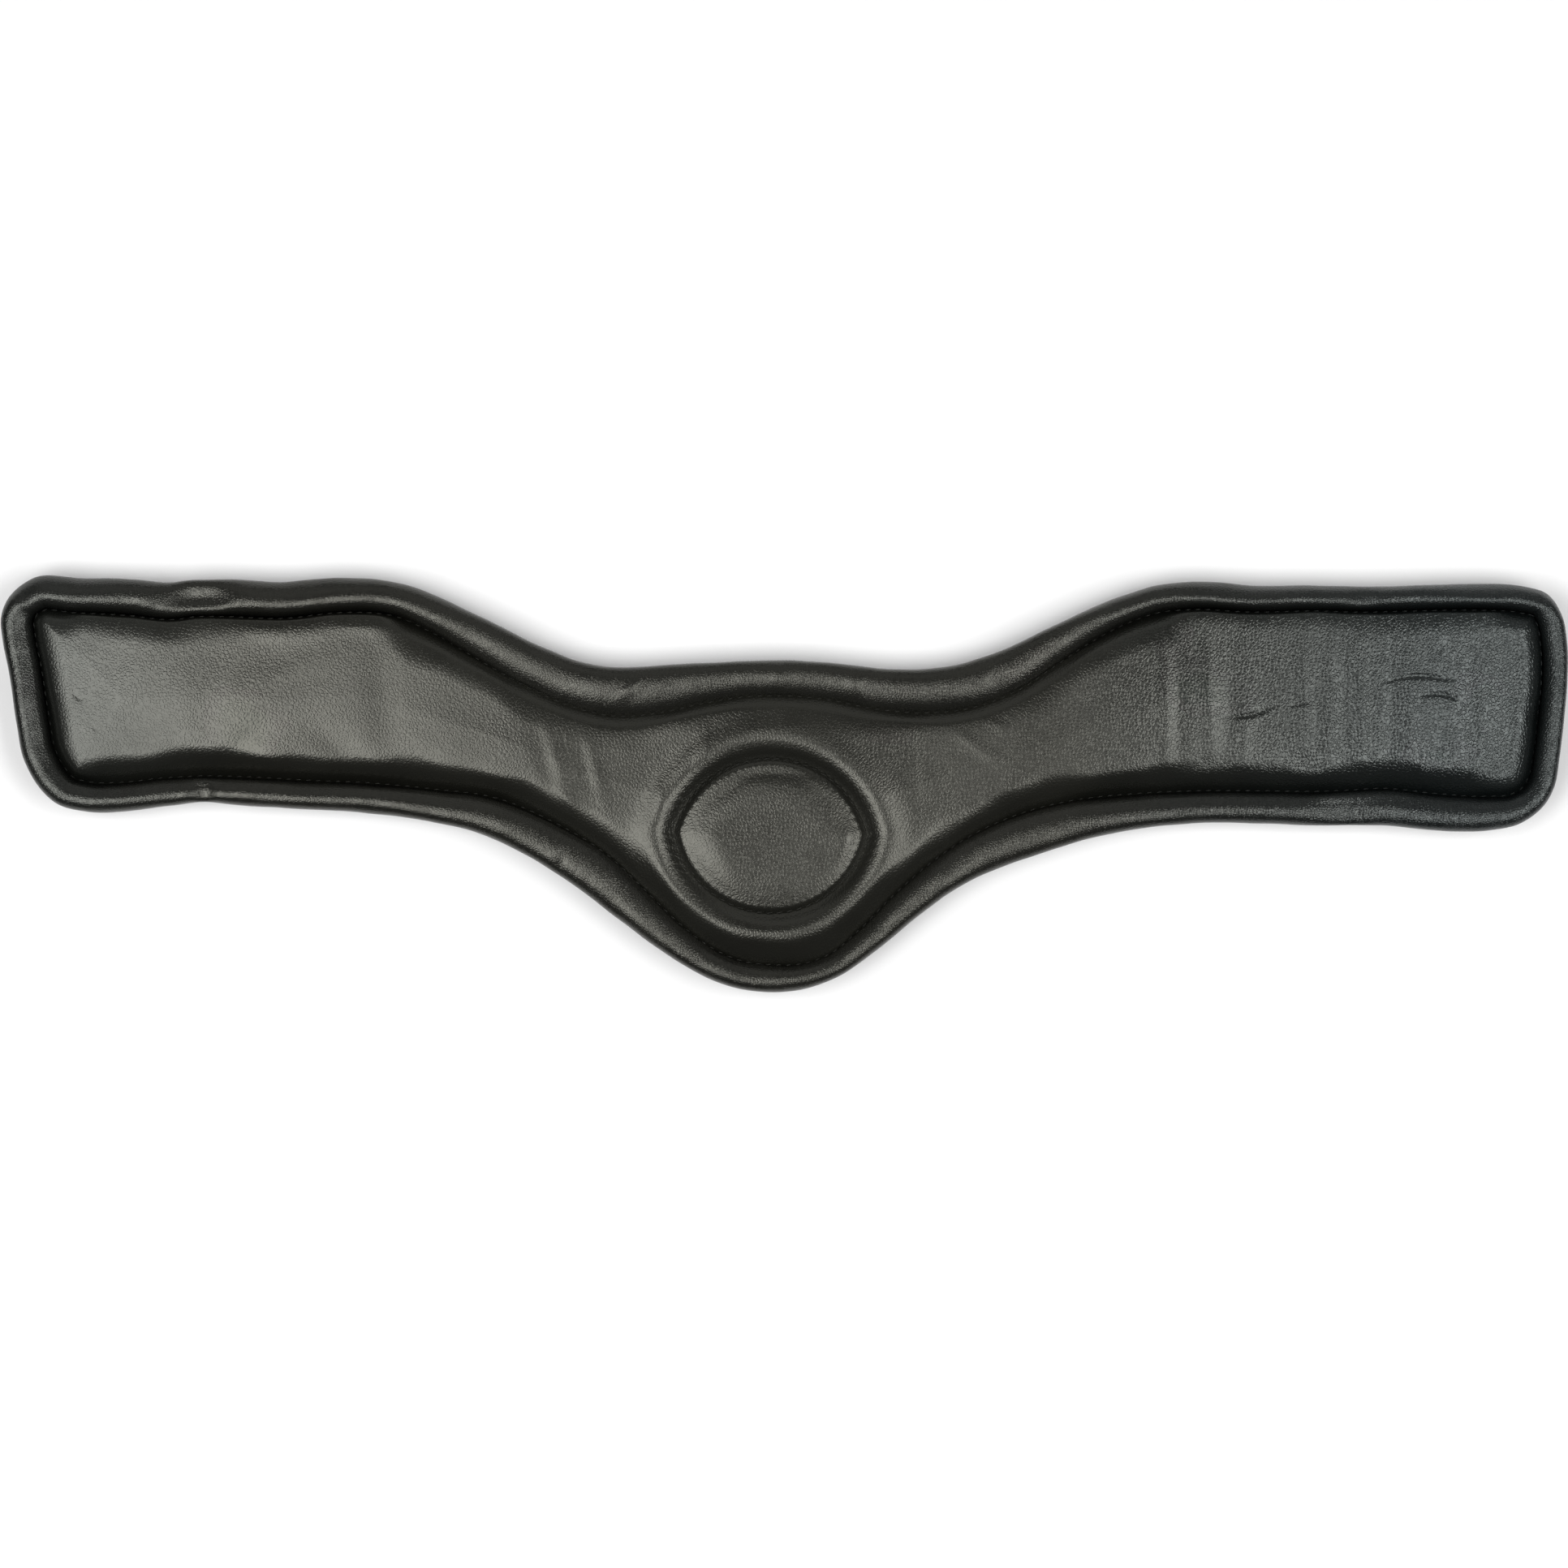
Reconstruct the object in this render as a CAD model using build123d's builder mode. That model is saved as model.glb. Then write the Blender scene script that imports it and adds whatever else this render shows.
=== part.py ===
from build123d import *
import math
import os

os.makedirs("parts", exist_ok=True)

# Leather saddle girth, laid flat with its padded lining up (+Z).
# X runs along the girth, -Y is the front edge with the belly bulge.
# The origin is the centre of the bounding box, at the surface it lies on.

# Silhouette: corners of the edge line and the radius that rounds each one
EDGE = [
    ((-353.0, 92.7), 19),
    ((-171.0, 92.6), 100),
    ((-90.5, 52.3), 88),
    ((-6.0, 56.1), 300),
    ((78.0, 50.9), 90),
    ((162.0, 90.7), 90),
    ((351.5, 89.1), 24),
    ((349.8, 42.0), 220),
    ((342.6, -21.4), 26),
    ((110.2, -17.0), 165),
    ((-5.7, -113.0), 71),
    ((-130.4, -16.2), 165),
    ((-262.0, -8.0), 150),
    ((-335.0, -14.4), 28),
]

# Layers, from the surface it lies on upwards
KEEPER_T = 1.8
SLOT_HEIGHT = 4.9
ELASTIC_T = 1.8
STRIP_T = 2.2
SHELL_T = 2.5
LINING_T = 1.4
RIM_HEIGHT = 12.4
RIM_WIDTH = 12.4
RIM_ROUND = 5.0
PANEL_TOP = 28.0
LAYER_GAP = 0.2
ELASTIC_Z = KEEPER_T + SLOT_HEIGHT
STRIP_Z = ELASTIC_Z + ELASTIC_T
SHELL_Z = STRIP_Z + STRIP_T
SHELL_TOP = SHELL_Z + SHELL_T
BASE_Z = SHELL_TOP + LAYER_GAP
WEB_T = 1.2
FOAM_Z = BASE_Z + WEB_T + LAYER_GAP

# Insets from the silhouette
SHELL_INSET = 1.5
PANEL_INSET = RIM_WIDTH + 0.8
SHOULDER_Z = 20.0
SLOPE_WIDTH = 4.0

# Bending lines, where the girth folds round the horse
HINGE_X = 140.0
HINGE_Z = SHELL_Z + SHELL_T / 2
HINGE_GAP = 0.4
FOLD_IN = 30.5
FOLD_OUT = 8.0
ZONE_X = 400.0
ZONE_TOP = 40.0
ZONE_LOW = -10.0
ZONE_Y = 150.0
CUT_THROUGH = 1.0

# Centre pad: a lens with pointed tips at both sides
PAD_LEFT = (-50.0, -21.5)
PAD_RIGHT = (38.0, -22.0)
PAD_REAR = (-6.5, 13.0)
PAD_FRONT = (-6.5, -58.5)
PAD_GROOVE = 3.0
PAD_FLOOR = 21.0
PAD_TOP = 28.4
PAD_ROUND = 2.4

# Buckles for 25 mm straps
BAR_R = 2.0
FIT = 0.06
BUCKLE_BAR_X = 298.0
BUCKLE_LENGTH = 36.0
BUCKLE_HALF = 16.0
BUCKLE_CORNER = 3.5
BUCKLE_PITCH = 41.0
BUCKLE_Z = 6.5
ROLLER_R = 3.2
ROLLER_HALF = 12.2
TONGUE_R = 1.2
TONGUE_EYE_R = 3.8
TONGUE_EYE_HALF = 2.6
TONGUE_CLEAR = 0.25
TONGUE_LENGTH = 38.4
TONGUE_TIP_R = 0.9
CHAPE_T = 1.8
CHAPE_HALF = 12.2
CHAPE_LENGTH = 24.0
CHAPE_NECK = 10.0
CHAPE_SLOT_HALF = 3.2
CHAPE_SLOT = 9.0
ELASTIC_HALF = 12.5
ELASTIC_IN_CHAPE = 13.0
POCKET_CLEAR = 0.1
POCKET_END_CLEAR = 0.3
ELASTIC_START_X = 172.0
PATCH_IN_X = 162.0
PATCH_OUT_X = 196.0
PATCH_HALF = 38.0
PATCH_T = 1.8
PATCH_CORNER = 6.0

# Middle of the buckles across the girth, and middle of the keeper along it
END_Y = {"left": 45.0, "right": 37.0}
KEEPER_X = {"left": -258.0, "right": 248.0}
KEEPER_HALF = 14.0
KEEPER_EDGES = {"left": (-4.5, 88.0), "right": (-14.0, 85.5)}
KEEPER_FOOT = 5.0
KEEPER_RISE = 6.5
SIDE = {"left": -1, "right": 1}

# Centre ring and its tab, under the bulge of the front edge
RING_X = -5.7
RING_Y = -58.0
RING_R = 2.0
RING_HALF = 15.0
RING_LEG = 6.0
RING_CORNER = 3.5
TAB_HALF = 11.2
TAB_T = 1.8
TAB_LENGTH = 17.0
TAB_NECK = 7.0
TAB_CLEAR = 0.04
RING_Z = SHELL_Z - RING_R - FIT - TAB_T - TAB_CLEAR

# Strip along the outer side: (x, rear y, front y)
STRIP_LINE = [
    (-192.0, 73.0, 17.0),
    (-150.0, 70.0, 15.0),
    (-85.0, 33.0, -20.0),
    (-6.0, 14.0, -36.0),
    (75.0, 31.0, -22.0),
    (150.0, 62.0, 8.0),
    (192.0, 65.0, 9.0),
]
STRIP_CORNER = 4.0
STRIP_BEND = 60.0
WEB_END = 112.0
WEB_NARROW = 8.0


def girth_face(inset):
    """Face of the silhouette, drawn in by inset."""
    with BuildSketch() as face:
        with BuildLine():
            FilletPolyline(*[p for p, r in EDGE], radius=[r for p, r in EDGE], close=True)
        make_face()
        if inset > 0:
            offset(amount=-inset, kind=Kind.ARC, mode=Mode.REPLACE)
    return face.sketch


def pad_face(growth):
    """Face of the lens-shaped pad, grown by growth."""
    with BuildSketch() as face:
        with BuildLine():
            ThreePointArc(PAD_LEFT, PAD_REAR, PAD_RIGHT)
            ThreePointArc(PAD_RIGHT, PAD_FRONT, PAD_LEFT)
        make_face()
        if growth != 0:
            offset(amount=growth, kind=Kind.ARC, mode=Mode.REPLACE)
    return face.sketch


def band_face(narrower, longer):
    """Face of the strip along the girth, drawn in at its edges and made longer at its ends."""
    last = len(STRIP_LINE) - 1
    rear = []
    front = []
    for i, (x, y_rear, y_front) in enumerate(STRIP_LINE):
        reach = longer * ((i == last) - (i == 0))
        rear.append((x + reach, y_rear - narrower))
        front.append((x + reach, y_front + narrower))
    bends = [STRIP_CORNER] + [STRIP_BEND] * (last - 1) + [STRIP_CORNER]
    with BuildSketch() as face:
        with BuildLine():
            FilletPolyline(*rear, *reversed(front), radius=bends * 2, close=True)
        make_face()
    return face.sketch


def fold_x(z, way):
    """Distance of a fold's face from the middle, on the centre's (-1) or the wing's (+1) side."""
    angle = FOLD_IN if z > HINGE_Z else FOLD_OUT
    return HINGE_X + way * (HINGE_GAP + abs(z - HINGE_Z) * math.tan(math.radians(angle)))


def zone_block(zone):
    """Space that the left wing, the centre or the right wing takes up."""
    heights = (ZONE_LOW, HINGE_Z, ZONE_TOP)
    if zone == "centre":
        near = [(-fold_x(z, -1), z) for z in heights]
        far = [(fold_x(z, -1), z) for z in reversed(heights)]
    else:
        near = [(SIDE[zone] * fold_x(z, 1), z) for z in heights]
        far = [(SIDE[zone] * ZONE_X, ZONE_TOP), (SIDE[zone] * ZONE_X, ZONE_LOW)]
    with BuildPart() as block:
        with BuildSketch(Plane.XZ):
            Polygon(*near, *far, align=None)
        extrude(amount=ZONE_Y, both=True)
    return block.part


def panel_block(inset, low, shoulder, top):
    """Raised panel: an upright edge up to the shoulder, then a slope up to its flat top."""
    with BuildPart() as block:
        with BuildSketch(Plane.XY.offset(low)):
            add(girth_face(inset))
        extrude(amount=shoulder - low)
        with BuildSketch(Plane.XY.offset(shoulder)):
            add(girth_face(inset))
        with BuildSketch(Plane.XY.offset(top)):
            add(girth_face(inset + SLOPE_WIDTH))
        loft(ruled=True)
    return block.part


def pad_block(low, high, growth):
    """Upright lens-shaped block."""
    with BuildPart() as block:
        with BuildSketch(Plane.XY.offset(low)):
            add(pad_face(growth))
        extrude(amount=high - low)
    return block.part


def rim_block(inset, rounding):
    """Band that follows the silhouette, drawn in on all its faces and rounded along its edges."""
    with BuildPart() as block:
        with BuildSketch(Plane.XY.offset(BASE_Z + inset)):
            add(girth_face(inset))
            add(girth_face(RIM_WIDTH - inset), mode=Mode.SUBTRACT)
        extrude(amount=RIM_HEIGHT - 2 * inset)
        flat_edges = block.edges().filter_by(Plane.XY)
        fillet(flat_edges, radius=rounding)
    return block.part


def finish_part(part, name):
    part.part.label = name
    export_step(part.part, "parts/" + name + ".step")


# Layers that fold: each is a left wing, a centre and a right wing
lining_outside = panel_block(PANEL_INSET, BASE_Z, SHOULDER_Z, PANEL_TOP)
lining_inside = panel_block(
    PANEL_INSET + LINING_T, BASE_Z - CUT_THROUGH, SHOULDER_Z - LINING_T, PANEL_TOP - LINING_T
)
under_lining = LINING_T + LAYER_GAP
foam_outside = panel_block(
    PANEL_INSET + under_lining, FOAM_Z, SHOULDER_Z - under_lining, PANEL_TOP - under_lining
)

for zone in ("left", "centre", "right"):
    block = zone_block(zone)

    with BuildPart() as shell:
        with BuildSketch(Plane.XY.offset(SHELL_Z)):
            add(girth_face(SHELL_INSET))
        extrude(amount=SHELL_T)
        add(block, mode=Mode.INTERSECT)
    finish_part(shell, "outer_shell_" + zone)

    with BuildPart() as strip:
        with BuildSketch(Plane.XY.offset(STRIP_Z)):
            add(band_face(0, 0))
        extrude(amount=STRIP_T)
        add(block, mode=Mode.INTERSECT)
    finish_part(strip, "reinforcing_strip_" + zone)

    with BuildPart() as web:
        with BuildSketch(Plane.XY.offset(BASE_Z)):
            add(band_face(WEB_NARROW, WEB_END))
        extrude(amount=WEB_T)
        add(block, mode=Mode.INTERSECT)
    finish_part(web, "tensile_web_" + zone)

    with BuildPart() as foam:
        add(foam_outside)
        if zone == "centre":
            add(pad_block(PAD_FLOOR - under_lining, ZONE_TOP, PAD_GROOVE + under_lining), mode=Mode.SUBTRACT)
        add(block, mode=Mode.INTERSECT)
    finish_part(foam, "foam_base_" + zone)

    with BuildPart() as lining:
        add(lining_outside)
        add(lining_inside, mode=Mode.SUBTRACT)
        if zone == "centre":
            add(pad_block(PAD_FLOOR - LINING_T, PANEL_TOP, PAD_GROOVE + LINING_T))
            add(pad_block(PAD_FLOOR, ZONE_TOP, PAD_GROOVE), mode=Mode.SUBTRACT)
        add(block, mode=Mode.INTERSECT)
    finish_part(lining, "lining_panel_" + zone)

# Rim roll: leather cover over a foam core. The centre has a rear and a front stretch.
cover_outside = rim_block(0, RIM_ROUND)
cover_inside = rim_block(LINING_T, RIM_ROUND - LINING_T)
core_outside = rim_block(under_lining, RIM_ROUND - under_lining)

for stretch, y_side in (("left", 0), ("right", 0), ("centre_rear", 1), ("centre_front", -1)):
    block = zone_block(stretch.split("_")[0])
    if y_side:
        with BuildPart() as half:
            add(block)
            with Locations((0, y_side * ZONE_Y, 0)):
                Box(2 * ZONE_X, 2 * ZONE_Y, 4 * ZONE_TOP, mode=Mode.INTERSECT)
        block = half.part

    with BuildPart() as rim:
        add(cover_outside)
        add(cover_inside, mode=Mode.SUBTRACT)
        add(block, mode=Mode.INTERSECT)
    finish_part(rim, "rim_roll_" + stretch)

    with BuildPart() as core:
        add(core_outside)
        add(block, mode=Mode.INTERSECT)
    finish_part(core, "rim_core_" + stretch)

# Centre pad: leather cap over a foam insert
PAD_LOW = PAD_FLOOR + LAYER_GAP
PAD_INSIDE = PAD_TOP - LINING_T

with BuildPart() as centre_pad:
    add(pad_block(PAD_LOW, PAD_TOP, 0))
    fillet(centre_pad.faces().sort_by(Axis.Z)[-1].edges(), radius=PAD_ROUND)
    add(pad_block(PAD_LOW, PAD_INSIDE, -PAD_ROUND), mode=Mode.SUBTRACT)
finish_part(centre_pad, "centre_pad")

with BuildPart() as pad_foam:
    add(pad_block(PAD_LOW, PAD_INSIDE - LAYER_GAP, -PAD_ROUND - LAYER_GAP))
finish_part(pad_foam, "centre_pad_foam")


def rod_plane(path):
    return Plane(origin=path @ 0, z_dir=path % 0)


def looped_leather(plane, half, axis_z, flat, neck, length, thickness):
    """Leather folded round a bar at the plane's origin, its two plies sewn flat beyond the neck."""
    outer = BAR_R + FIT + thickness
    flat_low, flat_top = flat
    with BuildPart() as leather:
        with BuildSketch(plane):
            with BuildLine():
                Polyline(
                    (0, axis_z + outer),
                    (-neck, flat_top),
                    (-length, flat_top),
                    (-length, flat_low),
                    (-neck, flat_low),
                    (0, axis_z - outer),
                )
                ThreePointArc((0, axis_z - outer), (outer, axis_z), (0, axis_z + outer))
            make_face()
            with Locations((0, axis_z)):
                Circle(BAR_R + FIT, mode=Mode.SUBTRACT)
        extrude(amount=half, both=True)
    return leather.part


# Hardware at each end: two buckles on elastic, held by chapes
chape_flat = (ELASTIC_Z - CHAPE_T, STRIP_Z + CHAPE_T)
for end, way in SIDE.items():
    bar_x = way * BUCKLE_BAR_X
    roller_x = bar_x + way * BUCKLE_LENGTH
    for row, across in (("rear", 1), ("front", -1)):
        name = end + "_" + row
        mid_y = END_Y[end] + across * BUCKLE_PITCH / 2
        side_view = Plane(origin=(bar_x, mid_y, 0), x_dir=(way, 0, 0), z_dir=(0, -way, 0))

        with BuildPart() as frame:
            with BuildLine():
                rod = FilletPolyline(
                    (bar_x, mid_y - BUCKLE_HALF, BUCKLE_Z),
                    (roller_x, mid_y - BUCKLE_HALF, BUCKLE_Z),
                    (roller_x, mid_y + BUCKLE_HALF, BUCKLE_Z),
                    (bar_x, mid_y + BUCKLE_HALF, BUCKLE_Z),
                    radius=BUCKLE_CORNER,
                    close=True,
                )
            with BuildSketch(rod_plane(rod)):
                Circle(BAR_R)
            sweep()
        finish_part(frame, "buckle_frame_" + name)

        with BuildPart() as roller:
            with BuildSketch(Plane(origin=(roller_x, mid_y, BUCKLE_Z), z_dir=(0, 1, 0))):
                Circle(ROLLER_R)
                Circle(BAR_R + FIT, mode=Mode.SUBTRACT)
            extrude(amount=ROLLER_HALF, both=True)
        finish_part(roller, "buckle_roller_" + name)

        droop = math.degrees(math.asin((ROLLER_R + TONGUE_CLEAR + TONGUE_R) / BUCKLE_LENGTH))
        lie = (way * math.cos(math.radians(droop)), 0, -math.sin(math.radians(droop)))
        with BuildPart() as tongue:
            with BuildSketch(Plane(origin=(bar_x, mid_y, BUCKLE_Z), z_dir=(0, 1, 0))):
                Circle(TONGUE_EYE_R)
            extrude(amount=TONGUE_EYE_HALF, both=True)
            with BuildSketch(Plane(origin=(bar_x, mid_y, BUCKLE_Z), z_dir=lie)):
                Circle(TONGUE_R)
            extrude(amount=TONGUE_LENGTH)
            fillet(tongue.edges().sort_by(Axis((bar_x, mid_y, BUCKLE_Z), lie))[-1], radius=TONGUE_TIP_R)
            with BuildSketch(Plane(origin=(bar_x, mid_y, BUCKLE_Z), z_dir=(0, 1, 0))):
                Circle(BAR_R + FIT)
            extrude(amount=TONGUE_EYE_HALF, both=True, mode=Mode.SUBTRACT)
        finish_part(tongue, "buckle_tongue_" + name)

        with BuildPart() as chape:
            add(
                looped_leather(
                    side_view, CHAPE_HALF, BUCKLE_Z, chape_flat, CHAPE_NECK, CHAPE_LENGTH, CHAPE_T
                )
            )
            with BuildSketch(side_view):
                with Locations((-CHAPE_LENGTH, ELASTIC_Z - POCKET_CLEAR)):
                    Rectangle(
                        ELASTIC_IN_CHAPE + POCKET_END_CLEAR,
                        ELASTIC_T + 2 * POCKET_CLEAR,
                        align=(Align.MIN, Align.MIN),
                    )
            extrude(amount=CHAPE_HALF, both=True, mode=Mode.SUBTRACT)
            with BuildSketch(side_view):
                with Locations((-CHAPE_SLOT, 0)):
                    Rectangle(2 * CHAPE_SLOT, ZONE_TOP, align=(Align.MIN, Align.CENTER))
            extrude(amount=CHAPE_SLOT_HALF, both=True, mode=Mode.SUBTRACT)
        finish_part(chape, "buckle_chape_" + name)

        elastic_end = BUCKLE_BAR_X - CHAPE_LENGTH + ELASTIC_IN_CHAPE
        with BuildPart() as elastic:
            with BuildSketch(Plane.XY.offset(ELASTIC_Z)):
                with Locations((way * (ELASTIC_START_X + elastic_end) / 2, mid_y)):
                    Rectangle(elastic_end - ELASTIC_START_X, 2 * ELASTIC_HALF)
            extrude(amount=ELASTIC_T)
        finish_part(elastic, "elastic_" + name)

    with BuildPart() as patch:
        with BuildSketch(Plane.XY.offset(ELASTIC_Z - PATCH_T)):
            with Locations((way * (PATCH_IN_X + PATCH_OUT_X) / 2, END_Y[end])):
                RectangleRounded(PATCH_OUT_X - PATCH_IN_X, 2 * PATCH_HALF, PATCH_CORNER)
        extrude(amount=PATCH_T)
    finish_part(patch, "anchor_patch_" + end)

    front_y, rear_y = KEEPER_EDGES[end]
    foot_z = SHELL_Z - KEEPER_T / 2
    band_z = KEEPER_T / 2
    with BuildPart() as keeper:
        with BuildSketch(Plane(origin=(KEEPER_X[end], 0, 0), x_dir=(0, 1, 0), z_dir=(1, 0, 0))):
            with BuildLine():
                Polyline(
                    (front_y, foot_z),
                    (front_y + KEEPER_FOOT, foot_z),
                    (front_y + KEEPER_FOOT + KEEPER_RISE, band_z),
                    (rear_y - KEEPER_FOOT - KEEPER_RISE, band_z),
                    (rear_y - KEEPER_FOOT, foot_z),
                    (rear_y, foot_z),
                )
            trace(line_width=KEEPER_T)
        extrude(amount=KEEPER_HALF, both=True)
    finish_part(keeper, "keeper_band_" + end)

# Centre ring and the tab that holds it
ring_low = RING_Y - RING_LEG
with BuildPart() as ring:
    with BuildLine(Plane.XY.offset(RING_Z)) as ring_line:
        Polyline(
            (RING_X - RING_HALF, ring_low),
            (RING_X - RING_HALF, RING_Y),
            (RING_X + RING_HALF, RING_Y),
            (RING_X + RING_HALF, ring_low),
        )
        ThreePointArc(
            (RING_X + RING_HALF, ring_low),
            (RING_X, ring_low - RING_HALF),
            (RING_X - RING_HALF, ring_low),
        )
        fillet(ring_line.vertices().group_by(Axis.Y)[-1], radius=RING_CORNER)
    with BuildSketch(rod_plane(ring_line.wires()[0])):
        Circle(RING_R)
    sweep(path=ring_line.wires()[0])
finish_part(ring, "centre_ring")

with BuildPart() as ring_tab:
    ring_view = Plane(origin=(RING_X, RING_Y, 0), x_dir=(0, -1, 0), z_dir=(-1, 0, 0))
    tab_flat = (SHELL_Z - 2 * TAB_T, SHELL_Z)
    add(looped_leather(ring_view, TAB_HALF, RING_Z, tab_flat, TAB_NECK, TAB_LENGTH, TAB_T))
finish_part(ring_tab, "ring_tab")
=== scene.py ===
import math
import random

import bpy
import numpy as np
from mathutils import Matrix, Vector
from mathutils.kdtree import KDTree


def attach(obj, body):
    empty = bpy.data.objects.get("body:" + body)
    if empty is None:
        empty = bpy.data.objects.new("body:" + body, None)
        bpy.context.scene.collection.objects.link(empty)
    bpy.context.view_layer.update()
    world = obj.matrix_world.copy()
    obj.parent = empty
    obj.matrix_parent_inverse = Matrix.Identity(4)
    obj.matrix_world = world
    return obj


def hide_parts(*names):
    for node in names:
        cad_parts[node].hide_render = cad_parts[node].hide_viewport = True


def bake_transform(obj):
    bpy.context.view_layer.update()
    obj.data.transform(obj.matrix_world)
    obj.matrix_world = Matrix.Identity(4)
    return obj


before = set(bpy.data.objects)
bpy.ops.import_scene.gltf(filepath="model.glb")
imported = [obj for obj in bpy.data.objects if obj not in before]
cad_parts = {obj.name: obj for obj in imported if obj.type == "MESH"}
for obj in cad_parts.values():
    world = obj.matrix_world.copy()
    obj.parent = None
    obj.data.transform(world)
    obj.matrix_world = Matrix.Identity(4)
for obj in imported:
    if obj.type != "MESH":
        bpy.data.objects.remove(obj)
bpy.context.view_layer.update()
mm = 0.001
print("frame loaded:", len(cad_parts), "nodes")


# shared measures of the girth, in mm
# edge points go clockwise from the rear left corner: x, y, width of the rim roll there
girth = {
    "edge": [
        (-335, 92.2, 14.4), (-314, 92.1, 15.0), (-290, 91.4, 15.6), (-273, 90.2, 16.0),
        (-266, 91.2, 16.0), (-248, 91.5, 16.0), (-226, 90.2, 15.6), (-198, 92.3, 15.0),
        (-183, 91.5, 14.4), (-170, 89.3, 14.2), (-152, 82.6, 15.4), (-130, 72.1, 17.8),
        (-107, 60.7, 19.6), (-90, 54.6, 21.2), (-76, 52.3, 22.6), (-60, 52.7, 22.2),
        (-38, 54.1, 19.0), (-18, 55.0, 16.8), (0, 55.3, 16.6), (20, 54.2, 17.2),
        (45, 51.7, 19.4), (62, 51.4, 20.4), (78, 53.5, 21.0), (96, 59.3, 20.2),
        (113, 67.2, 17.2), (132, 76.1, 13.8), (149, 83.4, 12.2), (165, 88.5, 11.6),
        (182, 90.4, 11.8), (210, 88.7, 11.2), (236, 88.8, 10.8), (258, 88.1, 10.6),
        (280, 88.8, 10.8), (312, 89.3, 11.0), (331, 88.3, 11.2), (341.4, 84.8, 11.0),
        (347.2, 76.0, 11.0), (349.6, 62, 10.8), (349.6, 46, 10.5), (348.3, 30, 10.5),
        (346.3, 12, 10.6), (343.6, -2, 11.0), (338.6, -10.6, 11.6), (329, -17.6, 13.0),
        (314, -21.0, 14.8), (290, -20.6, 15.6), (266, -18.5, 15.8), (255, -18.6, 15.2),
        (238, -18.5, 14.4), (210, -17.6, 13.8), (180, -17.8, 13.8), (156, -20.4, 15.2),
        (134, -25.2, 17.8), (112, -32.0, 19.4), (92, -39.2, 18.2), (74, -48.8, 16.0),
        (57, -61.4, 14.2), (42, -73.8, 12.2), (26, -85.2, 10.9), (10, -91.4, 11.4),
        (-5.5, -93.0, 12.4), (-22, -91.0, 12.5), (-39, -84.4, 13.2), (-56, -73.7, 14.9),
        (-74, -60.3, 17.8), (-92, -46.8, 19.9), (-112, -33.6, 18.4), (-134, -22.9, 16.8),
        (-158, -16.9, 13.9), (-186, -13.0, 12.7), (-214, -11.4, 12.3), (-244, -9.4, 12.0),
        (-259, -8.2, 11.0), (-274, -9.8, 12.0), (-297, -12.4, 12.3), (-312, -12.4, 12.6),
        (-325, -8.8, 13.0), (-334, 0.2, 13.4), (-339, 9.8, 13.5), (-342.4, 26, 13.4),
        (-345.7, 48, 13.6), (-348.9, 64, 13.8), (-349.6, 74, 13.8), (-345.5, 84.5, 13.9),
    ],
    "samples": 560,
    "stitchPitch": 4.4,
    "foldStart": 100,
    "foldEnd": 180,
    "hingeHeight": 11.95,
}
centreBody = "centre"
wingBody = {"left": "left_wing", "right": "right_wing"}
sideSign = {"left": -1, "right": 1}


def splineThrough(points, closed, perSpan=40):
    # smooth curve through the points; every column is carried along
    pts = np.array(points, float)
    if closed:
        ring = np.vstack([pts[-1], pts, pts[:2]])
    else:
        ring = np.vstack([2 * pts[0] - pts[1], pts, 2 * pts[-1] - pts[-2]])
    gaps = np.linalg.norm(np.diff(ring[:, :2], axis=0), axis=1)[:, None]
    slopes = np.diff(ring, axis=0) / gaps
    tangents = (slopes[:-1] * gaps[1:] + slopes[1:] * gaps[:-1]) / (gaps[:-1] + gaps[1:])
    t = np.linspace(0, 1, perSpan, endpoint=False)[:, None]
    out = []
    for i in range(len(pts) if closed else len(pts) - 1):
        a, b, gap = ring[i + 1], ring[i + 2], gaps[i + 1]
        ta = tangents[i]
        tb = tangents[(i + 1) % len(pts)] if closed else tangents[i + 1]
        out.append(
            a * (2 * t**3 - 3 * t**2 + 1) + b * (3 * t**2 - 2 * t**3)
            + gap * ta * (t**3 - 2 * t**2 + t) + gap * tb * (t**3 - t**2)
        )
    curve = np.vstack(out)
    return curve if closed else np.vstack([curve, pts[-1]])


def lengthsAlong(curve):
    return np.concatenate([[0], np.cumsum(np.linalg.norm(np.diff(curve[:, :2], axis=0), axis=1))])


def resampled(curve, stations):
    # stations are shares of the curve's length, or a count of even ones
    if np.isscalar(stations):
        stations = np.linspace(0, 1, stations)
    along = lengthsAlong(curve)
    at = np.asarray(stations) * along[-1]
    return np.column_stack([np.interp(at, along, curve[:, k]) for k in range(curve.shape[1])])


def inwardNormals(curve, closed):
    if closed:
        step = np.roll(curve[:, :2], -3, axis=0) - np.roll(curve[:, :2], 3, axis=0)
    else:
        step = np.gradient(curve[:, :2], axis=0)
    step /= np.linalg.norm(step, axis=1)[:, None]
    return np.column_stack([step[:, 1], -step[:, 0]])


def blurredRound(values, reach):
    # even smoothing of a closed row of values
    weights = np.hanning(2 * reach + 1)
    weights /= weights.sum()
    padded = np.concatenate([values[-reach:], values, values[:reach]])
    return np.convolve(padded, weights, mode="valid")


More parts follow.
